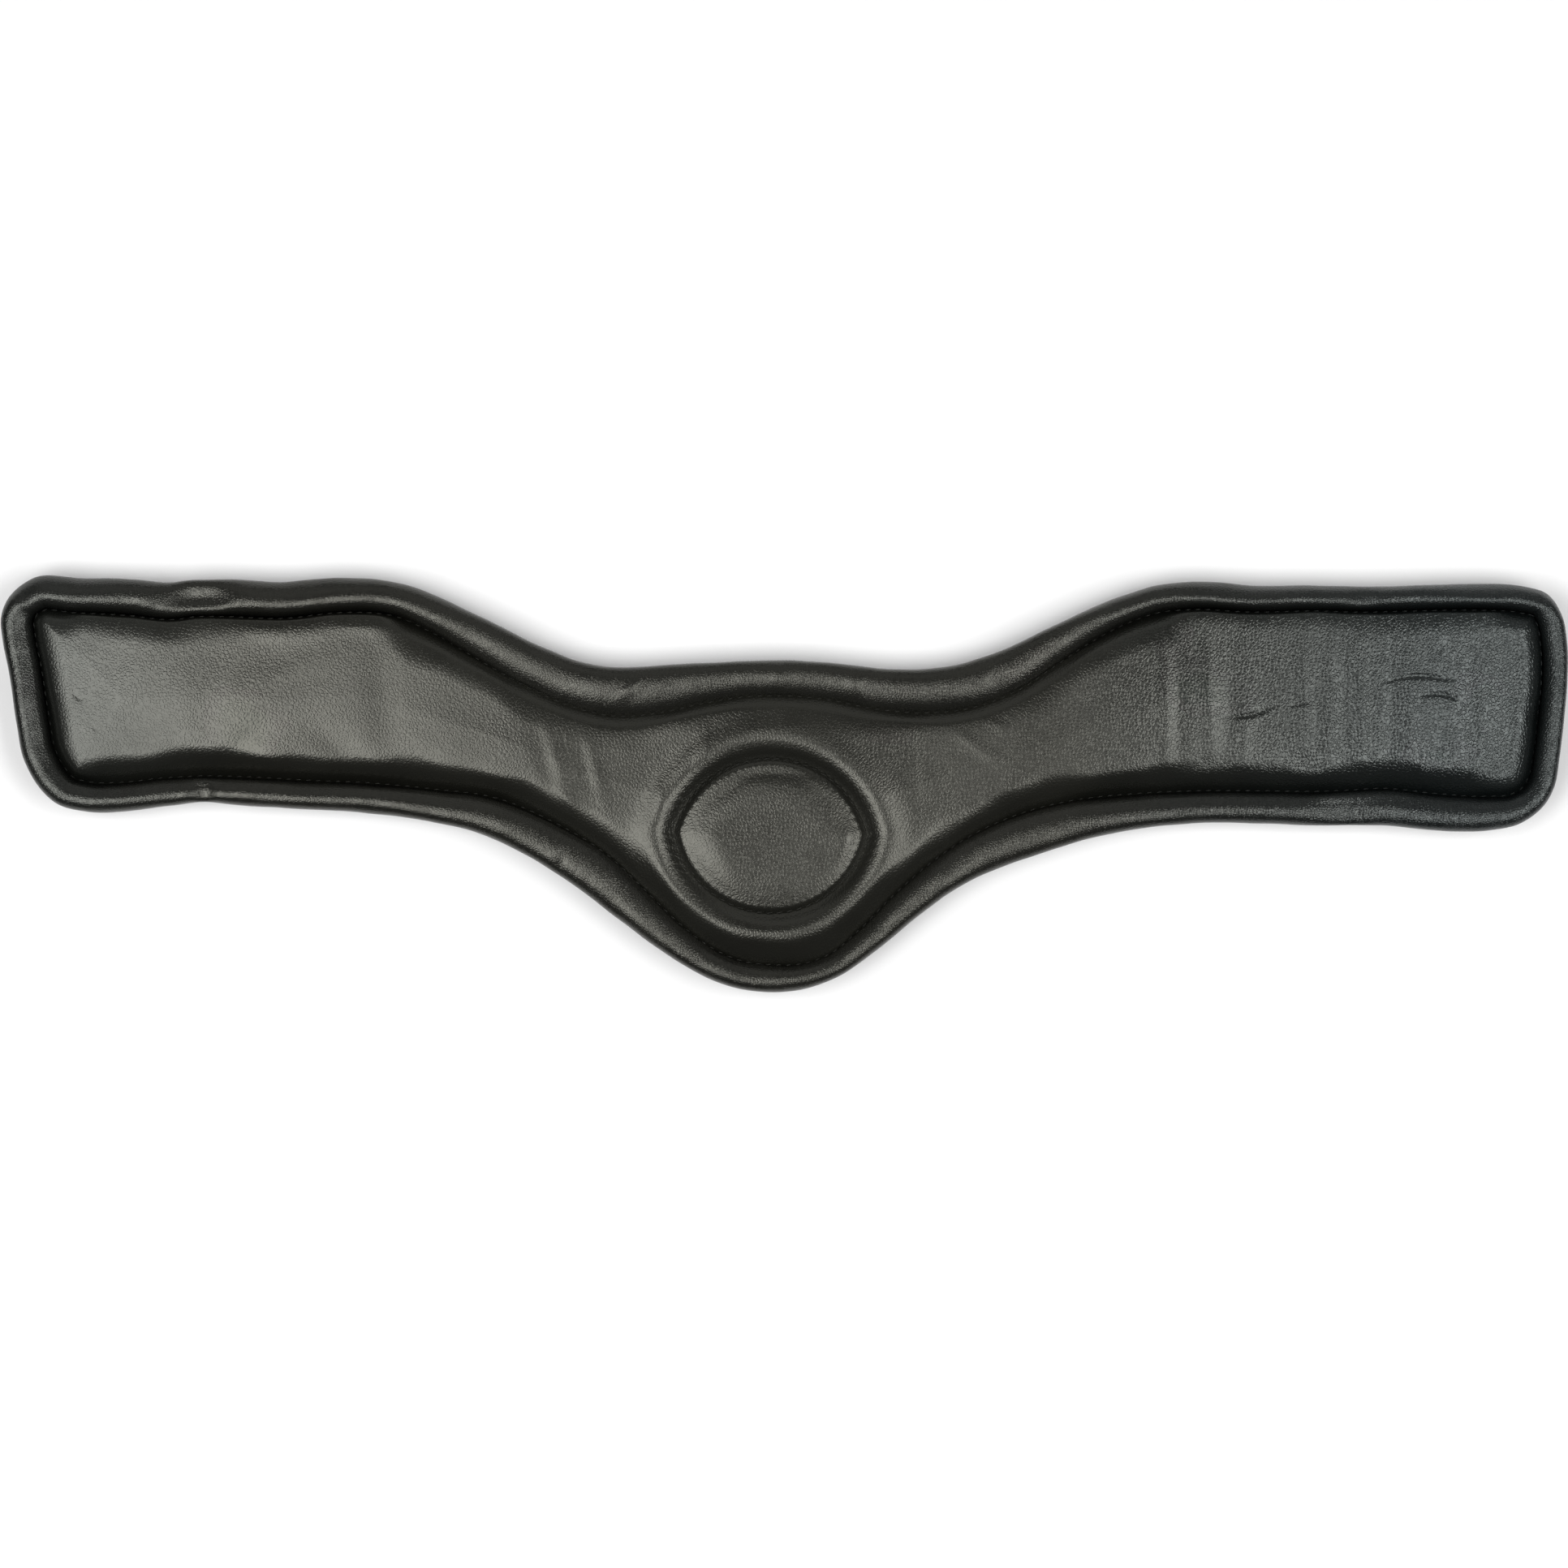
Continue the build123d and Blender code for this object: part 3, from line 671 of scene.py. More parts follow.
# centre pad: a lens of leather over foam, sewn into its bed
def makeCentrePad():
    border = padCurve[np.linspace(0, len(padCurve), centrePad["around"], endpoint=False).astype(int)]
    middle = np.array(centrePad["middle"])
    shares = np.sqrt(np.linspace(0, 1, centrePad["inward"] + 1))[1:]
    shares = np.concatenate([shares[:-1] * 0.985, [0.992, 1.0]])
    rings = [middle + (border - middle) * share for share in shares]
    points = np.vstack([middle[None]] + rings)
    depth, _ = distanceTo(points, padCurve)
    depth[-len(border):] = 0
    run = np.clip(depth - centrePad["flangeWidth"], 0, None)
    climb = 0.36 * (1 - (1 - np.clip(run / centrePad["steepWidth"], 0, 1)) ** 2)
    climb = climb + 0.64 * (1 - (1 - np.clip(run / centrePad["slopeWidth"], 0, 1)) ** 2)
    z = centrePad["border"] + (centrePad["top"] - centrePad["border"]) * climb
    z = z - 1.4 * (1 - smoothStep(depth, 0, 1.5))
    x, y = points.T
    z = z + smoothStep(run, 1, 8) * foldHeights(x, y, centrePad["folds"])
    place, spread, height = centrePad["pucker"]
    z = z + height * np.exp(-((depth - place) / spread) ** 2) * puckersRound(x, y, 42)
    z = z + smoothStep(run, 2, 12) * softField(x, y, *centrePad["topWaves"])
    upper = np.column_stack([points, z])
    last = 1 + (len(rings) - 1) * len(border)
    lowBorder = np.column_stack([border, np.full(len(border), centrePad["low"])])
    verts = np.vstack([upper, lowBorder])
    count = len(border)
    faces = [(0, 1 + j, 1 + (j + 1) % count) for j in range(count)]
    for r in range(len(rings) - 1):
        a = 1 + r * count
        b = a + count
        faces += [(a + j, b + j, b + (j + 1) % count, a + (j + 1) % count) for j in range(count)]
    low = len(upper)
    faces += [(last + j, low + j, low + (j + 1) % count, last + (j + 1) % count) for j in range(count)]
    faces.append(tuple(low + j for j in reversed(range(count))))
    return meshPiece("centrePad", verts, faces, sharpAngle=60)


pad = makeCentrePad()
print("centre pad made")


# stitches: one is modelled, then copied along each seam
stitch = {"length": 3.2, "thick": 0.5, "sag": 0.10, "slant": 8, "belowPitch": 3.6, "belowScale": 0.85}


def oneStitch():
    bpy.ops.object.select_all(action="DESELECT")
    bpy.ops.mesh.primitive_uv_sphere_add(segments=8, ring_count=6, radius=0.5, rotation=(0, math.pi / 2, 0))
    bpy.ops.object.transform_apply(location=False, rotation=True, scale=False)
    made = bpy.context.active_object
    co = np.array([v.co for v in made.data.vertices])
    faces = [tuple(f.vertices) for f in made.data.polygons]
    bpy.data.objects.remove(made)
    # a short thread: its middle straight, its ends dipping into the leather
    co[:, 0] = np.sign(co[:, 0]) * np.abs(co[:, 0] * 2) ** 0.6 / 2
    co = co * (stitch["length"], stitch["thick"], stitch["thick"])
    co[:, 2] -= stitch["sag"] * (co[:, 0] / (stitch["length"] / 2)) ** 2 * 4
    return co, faces


stitchShape, stitchFaces = oneStitch()


def stitchRow(name, line, heights, pitch=None, scale=1.0, below=False):
    # line: dense points of the seam; heights: the leather's height at each; below: on its lower face
    pitch = pitch or girth["stitchPitch"]
    along = lengthsAlong(line)
    count = max(2, int(along[-1] / pitch))
    at = (np.arange(count) + 0.5) * along[-1] / count
    x, y, z = (np.interp(at, along, v) for v in (line[:, 0], line[:, 1], heights))
    ahead, behind = np.minimum(at + 1, along[-1]), np.maximum(at - 1, 0)
    run = np.column_stack([np.interp(ahead, along, v) - np.interp(behind, along, v)
                           for v in (line[:, 0], line[:, 1], heights)])
    run /= np.linalg.norm(run, axis=1)[:, None]
    turn = math.radians(stitch["slant"])
    verts, faces = [], []
    for i in range(count):
        flat = np.array([-run[i, 1], run[i, 0], 0])
        flat /= np.linalg.norm(flat)
        direction = run[i] * math.cos(turn) + flat * math.sin(turn)
        sidewise = np.cross([0, 0, -1 if below else 1], direction)
        sidewise /= np.linalg.norm(sidewise)
        up = np.cross(direction, sidewise)
        base = len(verts)
        for p in stitchShape * scale:
            verts.append(np.array([x[i], y[i], z[i]]) + direction * p[0] + sidewise * p[1] + up * p[2])
        faces += [tuple(base + k for k in f) for f in stitchFaces]
    return meshPiece(name, np.array(verts), faces, sharpAngle=80)


seams = {}
for side, half in splitAtMiddle(seamLine).items():
    half = resampled(half[:, :2], 900)
    seams[side] = stitchRow("grooveStitches_" + side, half, panelTop(half) - 0.04)
padSeam = centrePad["middle"] + (padCurve - centrePad["middle"]) * centrePad["seamShare"]
padSeam = np.vstack([padSeam, padSeam[:1]])
padStitches = stitchRow("padStitches", padSeam, np.full(len(padSeam), centrePad["border"] + 0.06))
print("stitches made")


# underside: bridle leather shell, strip along its middle and the hardware's leathers
outerShell = {"inset": 2.3, "low": 10.7, "top": 13.2, "round": 0.7, "stitchInset": 6.0}
outerStrip = {
    "rear": [(-192, 73), (-150, 70), (-85, 33), (-6, 14), (75, 31), (150, 62), (192, 65)],
    "front": [(-192, 17), (-150, 15), (-85, -20), (-6, -36), (75, -22), (150, 8), (192, 9)],
    "low": 8.5, "top": 10.62, "round": 0.6, "bendRound": 16, "stitchInset": 4, "stitchTo": 188,
}
anchorPatch = {
    "x": 179, "length": 34, "width": 76, "low": 4.95, "top": 6.7, "corner": 6, "round": 0.5,
    "stitchInset": 3,
}
keeperBand = {
    "x": {"left": -258, "right": 248},
    "edges": {"left": (-4.5, 88.0), "right": (-14.0, 85.5)},
    "half": 14, "thick": 1.75, "foot": 5, "rise": 6.5, "footHeight": 9.78, "bandHeight": 0.9,
    "corner": 3.5, "stitchInset": 2.2, "stitchHalf": 12,
}
buckleEnd = {
    "middle": {"left": 45, "right": 37}, "pitch": 41, "barX": 298, "barHeight": 6.5,
    "loopRound": 3.0, "lowPly": 5.75, "highPly": 9.45, "plyThick": 1.7, "half": 12.2,
    "neck": 10, "length": 24, "slotHalf": 3.2, "slotBack": 9,
    "stitchIn": 17, "stitchHalf": (5, 10), "stitchPitch": 3.2,
}
elasticWeb = {"from": 172, "to": 286.6, "held": 13, "half": 12.4, "thick": 1.6, "height": 7.6}
ringTab = {
    "x": -5.7, "barY": -58, "barHeight": 6.8, "loopRound": 2.95, "lowPly": 8.02, "highPly": 9.82,
    "half": 11.2, "thick": 1.7, "neck": 7, "length": 17,
    "stitchIn": 11.75, "stitchHalf": (9, 3.25), "stitchPitch": 3.2,
}


def buckleRows(side):
    # the two buckles of one end: name and y of each
    middle, half = buckleEnd["middle"][side], buckleEnd["pitch"] / 2
    return [(side + "_rear", middle + half), (side + "_front", middle - half)]


def rectangle(cx, cy, halfX, halfY):
    return [(cx - halfX, cy - halfY), (cx + halfX, cy - halfY),
            (cx + halfX, cy + halfY), (cx - halfX, cy + halfY)]


def applyModifiers(piece):
    onlySelect(piece)
    for modifier in list(piece.modifiers):
        bpy.ops.object.modifier_apply(modifier=modifier.name)


def editAll(piece, *steps):
    # runs mesh operators on the whole piece in edit mode
    onlySelect(piece)
    bpy.ops.object.mode_set(mode="EDIT")
    for operator, options in steps:
        bpy.ops.mesh.select_all(action="SELECT")
        operator(**options)
    bpy.ops.object.mode_set(mode="OBJECT")


def flatLeather(name, outline, low, top, rounding):
    # a flat piece with rounded edges, cut to an outline; crossLines gives it its cross lines apart from this
    curve = bpy.data.curves.new(name, "CURVE")
    curve.dimensions = "2D"
    curve.fill_mode = "BOTH"
    curve.extrude = ((top - low) / 2 - rounding) * mm
    curve.bevel_depth = rounding * mm
    curve.bevel_resolution = 2
    curve.offset = -rounding * mm
    spline = curve.splines.new("POLY")
    spline.points.add(len(outline) - 1)
    for point, (px, py) in zip(spline.points, outline):
        point.co = (px * mm, py * mm, 0, 1)
    spline.use_cyclic_u = True
    piece = bpy.data.objects.new(name, curve)
    bpy.context.scene.collection.objects.link(piece)
    piece.location.z = (low + top) / 2 * mm
    onlySelect(piece)
    bpy.ops.object.convert(target="MESH")
    bpy.ops.object.transform_apply(location=True, rotation=False, scale=False)
    piece = bpy.context.active_object
    editAll(piece, (bpy.ops.mesh.remove_doubles, {"threshold": 0.00001}),
            (bpy.ops.mesh.normals_make_consistent, {"inside": False}))
    return piece


def crossLines(piece, places):
    editAll(piece, *[(bpy.ops.mesh.bisect, {"plane_co": (px * mm, 0, 0), "plane_no": (1, 0, 0)})
                     for px in places])


def halfOf(piece, side, name):
    # a copy of the piece with only one side of the middle left, closed again
    half = piece.copy()
    half.data = piece.data.copy()
    half.name = name
    bpy.context.scene.collection.objects.link(half)
    cutAtMiddle = {"plane_co": (0, 0, 0), "plane_no": (1, 0, 0), "use_fill": True,
                   "clear_inner": side == "right", "clear_outer": side == "left"}
    editAll(half, (bpy.ops.mesh.bisect, cutAtMiddle), (bpy.ops.mesh.quads_convert_to_tris, {}))
    smoothPiece(half, 35)
    return half


def bendPlaces(side):
    at = sideSign[side]
    return [at * px for px in range(girth["foldStart"] - 4, girth["foldEnd"] + 8, 4)]


def bothHalves(name, outline, low, top, rounding):
    whole = flatLeather(name, outline, low, top, rounding)
    halves = {}
    for side in sideSign:
        halves[side] = halfOf(whole, side, name + "_" + side)
        crossLines(halves[side], bendPlaces(side))
        smoothPiece(halves[side], 35)
    bpy.data.objects.remove(whole)
    return halves


def roundedCorners(points, radius, closed, steps=6):
    # a line with each corner turned into a short curve
    pts = np.array(points, float)
    out = []
    for i, p in enumerate(pts):
        if not closed and i in (0, len(pts) - 1):
            out.append(p)
            continue
        before, after = pts[i - 1] - p, pts[(i + 1) % len(pts)] - p
        reach = min(radius, np.linalg.norm(before) * 0.45, np.linalg.norm(after) * 0.45)
        a = p + before / np.linalg.norm(before) * reach
        b = p + after / np.linalg.norm(after) * reach
        for t in np.linspace(0, 1, steps):
            out.append(a * (1 - t) ** 2 + p * 2 * t * (1 - t) + b * t ** 2)
    return np.array(out)


def strapAlong(name, route, half, thick, widthAxis, place, rounding=0.45, slot=None):
    # a strap that follows a route: one edge is drawn out along it, thickened and bevelled.
    # widthAxis is the axis its width lies on, and place where its middle is on that axis.
    bpy.ops.object.select_all(action="DESELECT")
    bpy.ops.mesh.primitive_plane_add(size=2 * half * mm, location=(0, 0, 0))
    piece = bpy.context.active_object
    piece.name = piece.data.name = name
    other = 0 if widthAxis == 1 else 1
    bpy.ops.object.mode_set(mode="EDIT")
    bpy.ops.mesh.select_all(action="DESELECT")
    bpy.ops.object.mode_set(mode="OBJECT")
    for vert in piece.data.vertices:
        vert.select = vert.co[other] < 0
    bpy.ops.object.mode_set(mode="EDIT")
    bpy.ops.mesh.delete(type="VERT")
    bpy.ops.mesh.select_all(action="SELECT")

    def spot(p):
        full = [0, 0, p[1] * mm]
        full[other] = p[0] * mm
        full[widthAxis] = place * mm
        return Vector(full)

    start = [0, 0, 0]
    start[other] = half * mm
    bpy.ops.transform.translate(value=spot(route[0]) - Vector(start))
    for a, b in zip(route, route[1:]):
        bpy.ops.mesh.extrude_region_move(TRANSFORM_OT_translate={"value": spot(b) - spot(a)})
    if slot:
        slotHalf, inSlot = slot
        for edge in (place - slotHalf, place + slotHalf):
            bpy.ops.mesh.select_all(action="SELECT")
            plane, way = [0, 0, 0], [0, 0, 0]
            plane[widthAxis], way[widthAxis] = edge * mm, 1
            bpy.ops.mesh.bisect(plane_co=plane, plane_no=way)
        bpy.ops.mesh.select_all(action="DESELECT")
        bpy.ops.object.mode_set(mode="OBJECT")
        for face in piece.data.polygons:
            middle = face.center / mm
            face.select = abs(middle[widthAxis] - place) < slotHalf and inSlot(middle)
        bpy.ops.object.mode_set(mode="EDIT")
        bpy.ops.mesh.select_mode(type="FACE")
        bpy.ops.mesh.delete(type="FACE")
        bpy.ops.mesh.select_mode(type="VERT")
    bpy.ops.mesh.select_all(action="SELECT")
    bpy.ops.mesh.normals_make_consistent(inside=False)
    bpy.ops.object.mode_set(mode="OBJECT")
    wall = piece.modifiers.new("wall", "SOLIDIFY")
    wall.thickness = thick * mm
    wall.offset = 0
    wall.use_even_offset = True
    edges = piece.modifiers.new("edges", "BEVEL")
    edges.width = rounding * mm
    edges.segments = 2
    edges.limit_method = "ANGLE"
    edges.angle_limit = math.radians(50)
    applyModifiers(piece)
    editAll(piece, (bpy.ops.mesh.normals_make_consistent, {"inside": False}))
    smoothPiece(piece, 40)
    return piece


def arcPoints(cx, cz, radius, start, end, count):
    turns = np.radians(np.linspace(start, end, count))
    return [(cx + radius * math.cos(t), cz + radius * math.sin(t)) for t in turns]


shellOutline = resampled(insetCurve(outerShell["inset"]), 700)[:-1]
shells = bothHalves("outerShell", shellOutline, outerShell["low"], outerShell["top"], outerShell["round"])
rearEdge, frontEdge = (roundedCorners(outerStrip[edge], outerStrip["bendRound"], closed=False, steps=9)
                       for edge in ("rear", "front"))
stripOutline = roundedCorners(np.vstack([rearEdge, frontEdge[::-1]]), 3, closed=True, steps=3)
strips = bothHalves("outerStrip", stripOutline, outerStrip["low"], outerStrip["top"], outerStrip["round"])
print("shell and strip made")

patches, keepers, elastics, chapes = {}, {}, {}, {}


def makePatch(side):
    px, hl = sideSign[side] * anchorPatch["x"], anchorPatch["length"] / 2
    square = rectangle(px, buckleEnd["middle"][side], hl, anchorPatch["width"] / 2)
    made = flatLeather("anchorPatch_" + side, roundedCorners(square, anchorPatch["corner"], closed=True),
                       anchorPatch["low"], anchorPatch["top"], anchorPatch["round"])
    crossLines(made, [p for p in bendPlaces(side) if abs(p - px) < hl - 1])
    smoothPiece(made, 35)
    return made


def makeKeeper(side):
    # sewn to the shell at both ends, and clear of it between them, so that the straps pass through
    front, rear = keeperBand["edges"][side]
    foot, rise = keeperBand["foot"], keeperBand["rise"]
    high, band = keeperBand["footHeight"], keeperBand["bandHeight"]
    route = [(front, high), (front + foot, high), (front + foot + rise, band),
             (rear - foot - rise, band), (rear - foot, high), (rear, high)]
    return strapAlong("keeperBand_" + side, roundedCorners(route, keeperBand["corner"], closed=False),
                      keeperBand["half"], keeperBand["thick"], widthAxis=0, place=keeperBand["x"][side])


def makeElastic(name, py, sign):
    steps = [(v, elasticWeb["height"])
             for v in np.linspace(sign * elasticWeb["from"], sign * elasticWeb["to"], 30)]
    return strapAlong("elastic_web_" + name, steps, elasticWeb["half"], elasticWeb["thick"],
                      widthAxis=1, place=py, rounding=0.3)


def makeChape(name, py, sign):
    # folded round the buckle's bar, with a slot for the tongue
    bar, low, high = buckleEnd["barX"], buckleEnd["lowPly"], buckleEnd["highPly"]
    neck, end = bar - buckleEnd["neck"], bar - buckleEnd["length"]
    back = bar - buckleEnd["slotBack"]
    loop = [(end, low), (neck - 4, low), (neck, low - 0.05), (neck + 3, 5.3), (neck + 6, 4.4)]
    loop += arcPoints(bar, buckleEnd["barHeight"], buckleEnd["loopRound"], -100, 100, 17)
    loop += [(neck + 5, 9.6), (neck, high + 0.05), (neck - 4, high), (end, high)]
    return strapAlong("chape_" + name, [(sign * v, h) for v, h in loop], buckleEnd["half"],
                      buckleEnd["plyThick"], widthAxis=1, place=py,
                      slot=(buckleEnd["slotHalf"], lambda m: abs(m[0]) > back))


for side, sign in sideSign.items():
    patches[side] = makePatch(side)
    keepers[side] = makeKeeper(side)
    for name, py in buckleRows(side):
        elastics[name] = makeElastic(name, py, sign)
        chapes[name] = makeChape(name, py, sign)
    print("leathers of the", side, "end made")


def makeRingTab():
    ty, low, high = ringTab["barY"], ringTab["lowPly"], ringTab["highPly"]
    neck, end = ty + ringTab["neck"], ty + ringTab["length"]
    loop = [(end, high), (neck, high)]
    loop += arcPoints(ty, ringTab["barHeight"], ringTab["loopRound"], 85, 275, 17)
    loop += [(neck, low), (end, low)]
    return strapAlong("ringTab", loop, ringTab["half"], ringTab["thick"], widthAxis=0, place=ringTab["x"])


tab = makeRingTab()
print("ring tab made")

# stitch rows on the underside
underRows = []          # piece, what it moves with


def sewBelow(name, line, height, riding, pitch=stitch["belowPitch"]):
    line = np.array(line, float)
    line = resampled(line, max(40, int(lengthsAlong(line)[-1])))
    row = stitchRow(name, line, np.full(len(line), height), pitch, stitch["belowScale"], below=True)
    underRows.append((row, riding))


def sewnBox(cx, cy, halfX, halfY, radius, steps=6):
    box = rectangle(cx, cy, halfX, halfY)
    return roundedCorners(box + box[:1], radius, closed=False, steps=steps)


for side, half in splitAtMiddle(insetCurve(outerShell["stitchInset"])).items():
    sewBelow("shellStitches_" + side, half, outerShell["low"], side)
for side, sign in sideSign.items():
    for label, edge, inward in (("rear", rearEdge, -1), ("front", frontEdge, 1)):
        part = edge[edge[:, 0] * sign > 3]
        part = part[np.abs(part[:, 0]) < outerStrip["stitchTo"]] + (0, inward * outerStrip["stitchInset"])
        sewBelow("stripStitches_" + side + "_" + label, part, outerStrip["low"], side)
    inset = anchorPatch["stitchInset"]
    line = sewnBox(sign * anchorPatch["x"], buckleEnd["middle"][side],
                   anchorPatch["length"] / 2 - inset, anchorPatch["width"] / 2 - inset, 3)
    sewBelow("patchStitches_" + side, line, anchorPatch["low"], side)
    front, rear = keeperBand["edges"][side]
    inset, kx, half = keeperBand["stitchInset"], keeperBand["x"][side], keeperBand["stitchHalf"]
    height = keeperBand["footHeight"] - keeperBand["thick"] / 2
    for label, py in (("front", front + inset), ("rear", rear - inset)):
        line = [(kx - half, py), (kx + half, py)]
        sewBelow("keeperStitches_" + side + "_" + label, line, height, wingBody[side])
    halfX, halfY = buckleEnd["stitchHalf"]
    for name, py in buckleRows(side):
        line = sewnBox(sign * (buckleEnd["barX"] - buckleEnd["stitchIn"]), py, -sign * halfX, halfY, 1.5, 4)
        low = buckleEnd["lowPly"] - buckleEnd["plyThick"] / 2
        sewBelow("chapeStitches_" + name, line, low, name + "_chape", buckleEnd["stitchPitch"])
halfX, halfY = ringTab["stitchHalf"]
box = rectangle(ringTab["x"], ringTab["barY"] + ringTab["stitchIn"], halfX, -halfY)
sewBelow("tabStitches", box + box[:1], ringTab["lowPly"] - ringTab["thick"] / 2, centreBody,
         ringTab["stitchPitch"])
print("underside stitches made")


# materials
def addNode(tree, kind, values=None, feeds=None, **choices):
    # one node, with its fixed inputs, what feeds the others, and its menu choices
    node = tree.nodes.new("ShaderNode" + kind)
    for field, choice in choices.items():
        setattr(node, field, choice)
    for socket, value in (values or {}).items():
        node.inputs[socket].default_value = value
    for socket, source in (feeds or {}).items():
        tree.links.new(source, node.inputs[socket])
    return node


def material(name, values=None):
    made = bpy.data.materials.new(name)
    made.use_nodes = True
    tree = made.node_tree
    shader = tree.nodes["Principled BSDF"]
    for socket, value in (values or {}).items():
        shader.inputs[socket].default_value = value
    place = addNode(tree, "TexCoord").outputs["Object"]
    return made, tree, shader, place


def remap(tree, source, low, high, toLow=0.0, toHigh=1.0, **choices):
    values = {"From Min": low, "From Max": high, "To Min": toLow, "To Max": toHigh}
    return addNode(tree, "MapRange", values, {"Value": source}, **choices).outputs["Result"]


def blendColours(tree, share, first, second):
    values = {"A": (*first, 1), "B": (*second, 1)}
    return addNode(tree, "Mix", values, {"Factor": share}, data_type="RGBA").outputs["Result"]


def addRelief(tree, shader, height, strength, depth):
    values = {"Distance": depth}
    feeds = {"Height": height}
    if isinstance(strength, float):
        values["Strength"] = strength
    else:
        feeds["Strength"] = strength
    relief = addNode(tree, "Bump", values, feeds)
    tree.links.new(relief.outputs["Normal"], shader.inputs["Normal"])


leatherLook = {
    "coolRight": (0.12, 0.29),    # where the tone turns cooler towards the right end, in metres
    "coolLeft": (-0.24, -0.34),   # and towards the left one
    "coolLeftShare": 0.45,
    "pebbled": (0.12, 0.26),      # where the grain turns coarser
    "cloudScale": 26,
    "cloudShare": 0.5,
    "poreShare": 0.7,
    "warmGlint": (1.0, 0.99, 0.88),
    "coolGlint": (0.92, 1.0, 0.98),
}


def leather(name, settings):
    made, tree, shader, place = material(name, {"Specular IOR Level": settings["specular"]})
    x = addNode(tree, "SeparateXYZ", feeds={0: place}).outputs["X"]
    # colour: warm, cooler towards the right end and a little at the left one, with faint clouds
    toRight = remap(tree, x, *leatherLook["coolRight"])
    toLeft = remap(tree, x, *leatherLook["coolLeft"], 0.0, leatherLook["coolLeftShare"])
    toEnds = addNode(tree, "Math", feeds={0: toRight, 1: toLeft}, operation="ADD").outputs[0]
    clouds = addNode(tree, "TexNoise", {"Scale": leatherLook["cloudScale"], "Detail": 5}, {"Vector": place})
    tint = blendColours(tree, toEnds, settings["warm"], settings["cool"])
    shade = addNode(tree, "Mix", {"Factor": leatherLook["cloudShare"]},
                    {"A": tint, "B": clouds.outputs["Fac"]}, data_type="RGBA", blend_type="MULTIPLY")
    tree.links.new(shade.outputs["Result"], shader.inputs["Base Color"])
    # polish varies with handling
    polish = remap(tree, clouds.outputs["Fac"], 0.3, 0.7, settings["roughLow"], settings["roughHigh"])
    tree.links.new(polish, shader.inputs["Roughness"])
    # grain: small cells with finer pores between them, more pebbled towards the right end
    cells = addNode(tree, "TexVoronoi", {"Scale": settings["grainScale"]}, {"Vector": place},
                    feature="DISTANCE_TO_EDGE")
    pebbles = remap(tree, cells.outputs["Distance"], 0.0, 0.3, interpolation_type="SMOOTHSTEP")
    pores = addNode(tree, "TexNoise", {"Scale": settings["grainScale"] * 1.7, "Detail": 3}, {"Vector": place})
    grain = addNode(tree, "Math", {1: leatherLook["poreShare"]},
                    {0: pores.outputs["Fac"], 2: pebbles}, operation="MULTIPLY_ADD")
    strength = remap(tree, x, *leatherLook["pebbled"], settings["grainLow"], settings["grainHigh"])
    addRelief(tree, shader, grain.outputs[0], strength, settings["grainDepth"])
    glint = blendColours(tree, toEnds, leatherLook["warmGlint"], leatherLook["coolGlint"])
    tree.links.new(glint, shader.inputs["Specular Tint"])
    return made


liningLeather = leather("liningLeather", {
    "warm": (0.0072, 0.0072, 0.0056), "cool": (0.0050, 0.0066, 0.0066),
    "roughLow": 0.24, "roughHigh": 0.33, "grainScale": 660, "grainLow": 0.3, "grainHigh": 0.7,
    "grainDepth": 0.00014, "specular": 0.53,
})
rimLeather = leather("rimLeather", {
    "warm": (0.0070, 0.0070, 0.0058), "cool": (0.0052, 0.0064, 0.0066),
    "roughLow": 0.24, "roughHigh": 0.32, "grainScale": 900, "grainLow": 0.3, "grainHigh": 0.45,
    "grainDepth": 0.0002, "specular": 0.5,
})
threadBlack = leather("threadBlack", {
    "warm": (0.0105, 0.0105, 0.0095), "cool": (0.0095, 0.0105, 0.0105),
    "roughLow": 0.5, "roughHigh": 0.65, "grainScale": 2600, "grainLow": 0.4, "grainHigh": 0.4,
    "grainDepth": 0.0002, "specular": 0.35,
})
bridleLeather = leather("bridleLeather", {
    "warm": (0.0150, 0.0146, 0.0130), "cool": (0.0130, 0.0140, 0.0140),
    "roughLow": 0.36, "roughHigh": 0.5, "grainScale": 700, "grainLow": 0.3, "grainHigh": 0.3,
    "grainDepth": 0.00015, "specular": 0.45,
})
strapLeather = leather("strapLeather", {
    "warm": (0.0190, 0.0180, 0.0160), "cool": (0.0170, 0.0170, 0.0165),
    "roughLow": 0.32, "roughHigh": 0.45, "grainScale": 1000, "grainLow": 0.25, "grainHigh": 0.25,
    "grainDepth": 0.00012, "specular": 0.5,
})


def ribbedElastic():
    made, tree, shader, place = material("elasticBlack", {"Roughness": 0.75, "Sheen Weight": 0.15})
    # lengthwise ribs, and finer weft lines across them
    ribs = addNode(tree, "TexWave", {"Scale": 240, "Distortion": 0.6}, {"Vector": place}, bands_direction="Y")
    weft = addNode(tree, "TexWave", {"Scale": 520, "Distortion": 1.0}, {"Vector": place}, bands_direction="X")
    weave = addNode(tree, "Math", {1: 0.4}, {0: weft.outputs["Fac"], 2: ribs.outputs["Fac"]},
                    operation="MULTIPLY_ADD").outputs[0]
    # colour follows the weave's relief, darker in its low lines: painted shade in the grooves, over the
    # weave's own rib pattern
    shade = blendColours(tree, weave, (0.010, 0.010, 0.010), (0.032, 0.032, 0.031))
    tree.links.new(shade, shader.inputs["Base Color"])
    addRelief(tree, shader, weave, 0.7, 0.0004)
    return made


